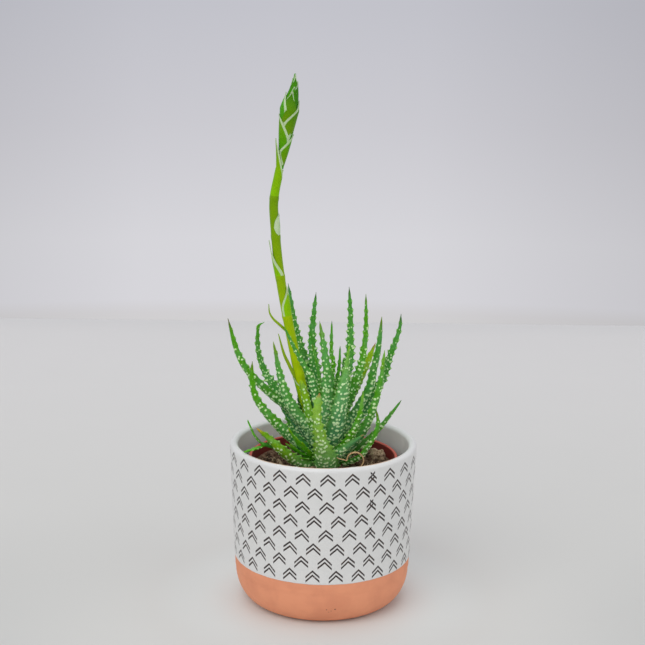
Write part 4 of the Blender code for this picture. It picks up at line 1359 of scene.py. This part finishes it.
# How far round the head the bracts reach, in degrees by shares of their length
CLASP = ((0, 150), (0.38, 118), (0.8, 40), (1, 0))
SIDE_CLASP = ((0, 78), (0.5, 66), (0.8, 32), (1, 0))
FRONT_CLASP = ((0, 85), (0.4, 75), (0.75, 34), (1, 0))

# Each bract of the head, as for those on the stalk
HEAD_BRACTS = (
    (254.5, 350, 17.5, 0.8, ((0, 80), (0.2, 125), (0.4, 145), (0.62, 80), (0.85, 25), (1, 0)), HEAD_PAPER,
     (HEAD_OLIVE, HEAD_GREEN)),
    (257.5, 90, 20.0, 0.8, CLASP, HEAD_PAPER, (HEAD_OLIVE, HEAD_GREEN)),
    (261.9, 190, 20.0, 0.8, ((0, 150), (0.35, 128), (0.8, 46), (1, 0)), HEAD_PAPER, (HEAD_GREEN, HEAD_OLIVE)),
    (265.0, 60, 20.0, 0.8, CLASP, HEAD_PAPER, (HEAD_GREEN, HEAD_GREEN)),
    (268.9, 350, 22.0, 0.9, ((0, 150), (0.38, 114), (0.79, 22), (1, 0)), HEAD_PAPER, (HEAD_OLIVE, HEAD_DARK)),
    (272.0, 120, 19.0, 0.8, CLASP, HEAD_PAPER, (HEAD_GREEN, HEAD_GREEN)),
    (276.8, 190, 17.0, 1.2, SIDE_CLASP, HEAD_PAPER, (HEAD_GREEN, HEAD_GREEN)),
    (278.0, 75, 18.0, 0.6, CLASP, HEAD_PAPER, (HEAD_GREEN, HEAD_DARK)),
    (276.0, 262, 19.0, 0.7, FRONT_CLASP, TIP_PAPER, (HEAD_OLIVE, HEAD_DARK)),
    (284.5, 275, 13.0, 0.3, FRONT_CLASP, TIP_PAPER, (HEAD_DARK, HEAD_GREEN)),
    (283.7, 350, 17.0, 0.6, CLASP, TIP_PAPER, (HEAD_DARK, HEAD_DARK)),
    (285.0, 140, 17.0, 0.3, CLASP, TIP_PAPER, (HEAD_GREEN, HEAD_DARK)),
    (286.7, 290, 17.6, 0.1, CLASP, TIP_PAPER, (HEAD_GREEN, HEAD_DARK)),
)


def head_core():
    """The spindle under the bracts. Its radii are means over near points, which rounds them."""
    line, _ = through(HEAD, 90)
    radii = np.interp(line[:, 2], HEAD_HEIGHTS, HEAD_RADII)
    near = 2 * CORE_ROUNDING + 1
    radii = np.convolve(np.pad(radii, CORE_ROUNDING, mode="edge"), np.ones(near) / near, mode="valid")
    return bar(line, radii, HEAD_OLIVE, HEAD_GREEN, sides=28)


core = build("head_core", head_core(), skin, ["flower_head"])
buds = build("head_bracts", stack([bract(*row) for row in HEAD_BRACTS]), skin, [])
solid_sheet(buds, SHEET_THICK)
print("head:", len(core.data.polygons) + 2 * len(buds.data.polygons), "faces")

# %% [markdown]
# ## Offsets, the dry leaf and the stem
# Two young shoots show: a bright spiny tuft at the foot of the rosette, and one on a thin
# runner at the left. Their blades are small leaves whose teeth are large for their width. One
# old leaf has dried to a tan strand that curls round a leaf's foot.

# %% Offsets
NEAR_OFFSET = ((-4, -4, 86), 3.8, (
    (-20, -16, 107), (-19, -17, 98), (-21.5, -13, 97), (-12.3, -18, 99.6), (-8.5, -18, 95), (-13.3, -18, 90),
    (-16, -17, 102.5),
))
LEFT_OFFSET_STEM = ((-10, -5, 70), (-11, -6, 80), (-17, -8.5, 88), (-26, -11, 93), (-35, -15, 97))
LEFT_OFFSET_RADIUS = 1.1
LEFT_OFFSET = ((-34, -15, 96), 2.6, ((-43, -15, 111), (-44.6, -29, 96.6)))
OFFSET_GREEN = (0.120, 0.500, 0.003)
OFFSET_TINTS = (OFFSET_GREEN, OFFSET_GREEN, LIME, 0.7)
LEFT_TINTS = (FRESH, OFFSET_GREEN, OFFSET_GREEN, 0.9)


def tuft(offset, tints, draw):
    """The small blades of an offset, from one root and bending up to their tips."""
    root, width, tips = offset
    made = []
    for tip in tips:
        knee = [root[0] + 0.55 * (tip[0] - root[0]), root[1] + 0.55 * (tip[1] - root[1]),
                root[2] + 0.4 * (tip[2] - root[2])]
        _, length = through([root, knee, tip], 3)
        line, _ = through([root, knee, tip], max(24, int(length / 0.4)))
        share = np.linspace(0, 1, len(line))
        wide = 0.7 + (width - 0.7) * np.sin(np.pi * (0.18 + 0.82 * share)) ** 0.8
        inward = (root[0] - tip[0], root[1] - tip[1], 12.0)
        made.append(leaf_shell(line, inward, wide, tints, draw, tooth=1.3, wart=0.5))
    return made


def runner():
    """The thin runner of the left offset, as a bar with the leaf's marks."""
    line, _ = through(LEFT_OFFSET_STEM, 60)
    points, own, marks = bar(line, np.full(60, LEFT_OFFSET_RADIUS), MID, MID, sides=16)
    flat = np.zeros((len(points), 1))
    return points, own, {"skin": marks["skin"], "bead": flat, "spine": flat}


bright = leaf_finish("offset_skin", bloom=0.05)
near = build("tuft_near", stack(tuft(NEAR_OFFSET, OFFSET_TINTS, draw)), bright, ["offset_near"])
shoots = [runner()] + tuft(LEFT_OFFSET, LEFT_TINTS, draw)
left = build("tuft_left", stack(shoots), bright, ["offset_left"])
print("offsets:", len(near.data.polygons) + len(left.data.polygons), "faces")

# %% Dry leaf and stem
DRY_STRAND = ((3, -5, 90), (8, -16, 89.4), (11.5, -16.5, 88.6))
DRY_RING = (18.2, -16, 88)
DRY_RING_RADIUS = 4.8
DRY_WIDTH = 1.25
DRY_TWIST = 1.4
DRY_TINT = (0.68, 0.48, 0.23)
DRY_STREAK = (0.48, 0.23, 0.10)
STEM_TINT = (0.20, 0.28, 0.09)
STEM_SCAR = (0.22, 0.13, 0.07)


def dry_strand():
    """A ribbon that leaves the stem, turns once round the leaf's foot, and twists on its way."""
    x, y, z = DRY_RING
    points = list(DRY_STRAND)
    for degrees in range(180, -150, -30):
        angle = math.radians(degrees)
        points.append((x + DRY_RING_RADIUS * math.cos(angle), y, z + DRY_RING_RADIUS * math.sin(angle)))
    share = np.linspace(0, 1, 150)
    wide = DRY_WIDTH / 2 * (1.1 - 0.5 * share)
    line, points = strand(points, (0.0, -1.0, 0.2), wide, 0.32, 14, DRY_TWIST * np.sin(5 * share))
    return closed(points, line[0], line[-1], {})


def dry_finish():
    """Dried leaf: tan and papery, with reddish streaks."""
    f = Finish("dried_leaf", 0.7)
    where = f.place()[3]
    f.feed("Base Color", f.mix(f.noise(where, 1.5).step(0.4, 0.7), DRY_TINT, DRY_STREAK))
    f.bump(f.noise(where, 0.4), 0.15)
    return f


def stem_finish():
    """The short stem, pale green with brown scars where old leaves fell."""
    f = Finish("stem_skin", 0.6)
    where = f.place()[3]
    f.feed("Base Color", f.mix(f.noise(where, 2.0).step(0.45, 0.6), STEM_TINT, STEM_SCAR))
    f.bump(f.noise(where, 1.0), 0.3)
    return f


dry = build("dry_strand", dry_strand(), dry_finish(), ["dry_leaf"])
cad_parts["stem"].data.materials.clear()
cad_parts["stem"].data.materials.append(stem_finish().material)
print("dry leaf:", len(dry.data.polygons), "faces")

# %% [markdown]
# ## Table, wall and light
# The table ends behind the plant, and the wall beyond it is the world's own colour, which
# darkens softly towards the top, towards the sides and just above the table: painted shade. The
# table's tint carries painted light and shade too. One large soft light stands high in front, to
# the left, a weak one fills from the right, and a third hangs high behind the plant.

# %% Stage
TABLE_BACK = 740.0
TABLE_SIDE = 3000.0
# Table tints: the near and side tints are painted shade, the far and foot tints painted light
TABLE_FOOT_LIT = (0.755, 0.805, 0.775)
TABLE_NEAR_SHADE = (0.620, 0.618, 0.580)
TABLE_TINT = (0.685, 0.682, 0.640)
TABLE_FAR_LIT = (0.790, 0.780, 0.750)
TABLE_EDGE = (0.766, 0.758, 0.733)
TABLE_SIDE_SHADE = (0.500, 0.508, 0.482)
TABLE_CLOUD = (0.3, 0.3, 0.3)
# Distances between which a tint begins: in front (painted shade), along the far edge, round the
# foot (painted light) and at the sides (painted shade) by the distance to the side and to the back
NEAR_FROM = (0.0, -450.0)
EDGE_FROM = (TABLE_BACK - 70, TABLE_BACK)
FOOT_FROM = (105.0, 50.0)
SIDES_FROM = (70.0, 260.0)
SIDES_END = (150.0, -100.0)
# The wall's colour by the height of the direction, darker just above the table and towards the
# top as painted shade, and its brightness by how far to the side, darker to the sides as painted shade
WALL_STOPS = (
    (-0.218, (0.612, 0.602, 0.606)), (-0.211, (0.617, 0.605, 0.620)), (-0.202, (0.652, 0.646, 0.680)),
    (-0.160, (0.650, 0.645, 0.678)),
    (-0.080, (0.575, 0.570, 0.610)), (0.0, (0.520, 0.522, 0.570)),
)
WALL_MIDDLE = -0.029
WALL_SIDE_SHADE = ((0.0, 1.0), (0.10, 0.985), (0.20, 0.89), (0.26, 0.84), (0.50, 0.952))
WALL_STRENGTH = 1.05


def table():
    """A flat sheet at the height of the pot's foot, whose tint carries painted light and shade."""
    x, y = np.meshgrid([-TABLE_SIDE, TABLE_SIDE], np.array([-TABLE_SIDE, TABLE_BACK]))
    mesh = bpy.data.meshes.new("table")
    points = np.stack([x, y, np.zeros_like(x)], -1).reshape(-1, 3) * MM
    mesh.from_pydata(points.tolist(), [], [(0, 1, 3, 2)])
    f = Finish("table_top", 0.55, Specular_IOR_Level=0.3)
    right, far, _, where = f.place()
    cloud = f.noise(where, 60.0) * 0.03
    # Painted shade in front, painted light towards the back
    colour = f.mix(far.step(*NEAR_FROM), TABLE_TINT, TABLE_NEAR_SHADE)
    colour = f.mix(far.step(0.0, TABLE_BACK), colour, TABLE_FAR_LIT)
    colour = f.mix(far.step(*EDGE_FROM), colour, TABLE_EDGE)
    radius = (right * right + far * far).math("SQRT")
    # Painted light round the pot's foot, against its contact shadow
    colour = f.mix(radius.step(*FOOT_FROM), colour, TABLE_FOOT_LIT)
    # Painted shade at the sides
    sides = right.math("ABSOLUTE").step(*SIDES_FROM) * far.step(*SIDES_END)
    colour = f.mix(sides * 0.6, colour, TABLE_SIDE_SHADE)
    f.feed("Base Color", f.mix(cloud, colour, TABLE_CLOUD))
    mesh.materials.append(f.material)
    item = bpy.data.objects.new("table", mesh)
    bpy.context.scene.collection.objects.link(item)


def wall():
    """The world by the direction that looks at it: its colour by the height, its strength by the
    distance to the side. Both darken it in places as painted shade."""
    world = bpy.data.worlds.new("room")
    bpy.context.scene.world = world
    room = Graph(world, "Background")
    x, _, z = room.split(room.node("ShaderNodeTexCoord", {}, output="Generated"))
    aside = (x - WALL_MIDDLE).math("ABSOLUTE")
    # Painted shade: darker towards the sides of the view
    bright = aside.ramp([(at, (value, value, value)) for at, value in WALL_SIDE_SHADE])
    # Painted shade: darker just above the table and towards the top
    room.feed("Color", z.ramp(WALL_STOPS))
    room.feed("Strength", bright * WALL_STRENGTH)


table()
wall()
print("stage: table and wall")

# %% Lights
LIGHTS = (
    ("key", (-680, -1080, 1240), 1.5, 12.2),
    ("fill", (1200, -700, 700), 1.4, 3.8),
    ("back", (0, 500, 1500), 1.4, 5.0),
)
AIM_AT = Vector((0, 0, 110)) * MM


def soft_light(name, at, size, power):
    """A square light that faces the plant."""
    data = bpy.data.lights.new(name, "AREA")
    data.size = size
    data.energy = power
    item = bpy.data.objects.new(name, data)
    item.location = Vector(at) * MM
    item.rotation_euler = (AIM_AT - item.location).to_track_quat("-Z", "Y").to_euler()
    bpy.context.scene.collection.objects.link(item)


for row in LIGHTS:
    soft_light(*row)
print("lights:", len(LIGHTS))
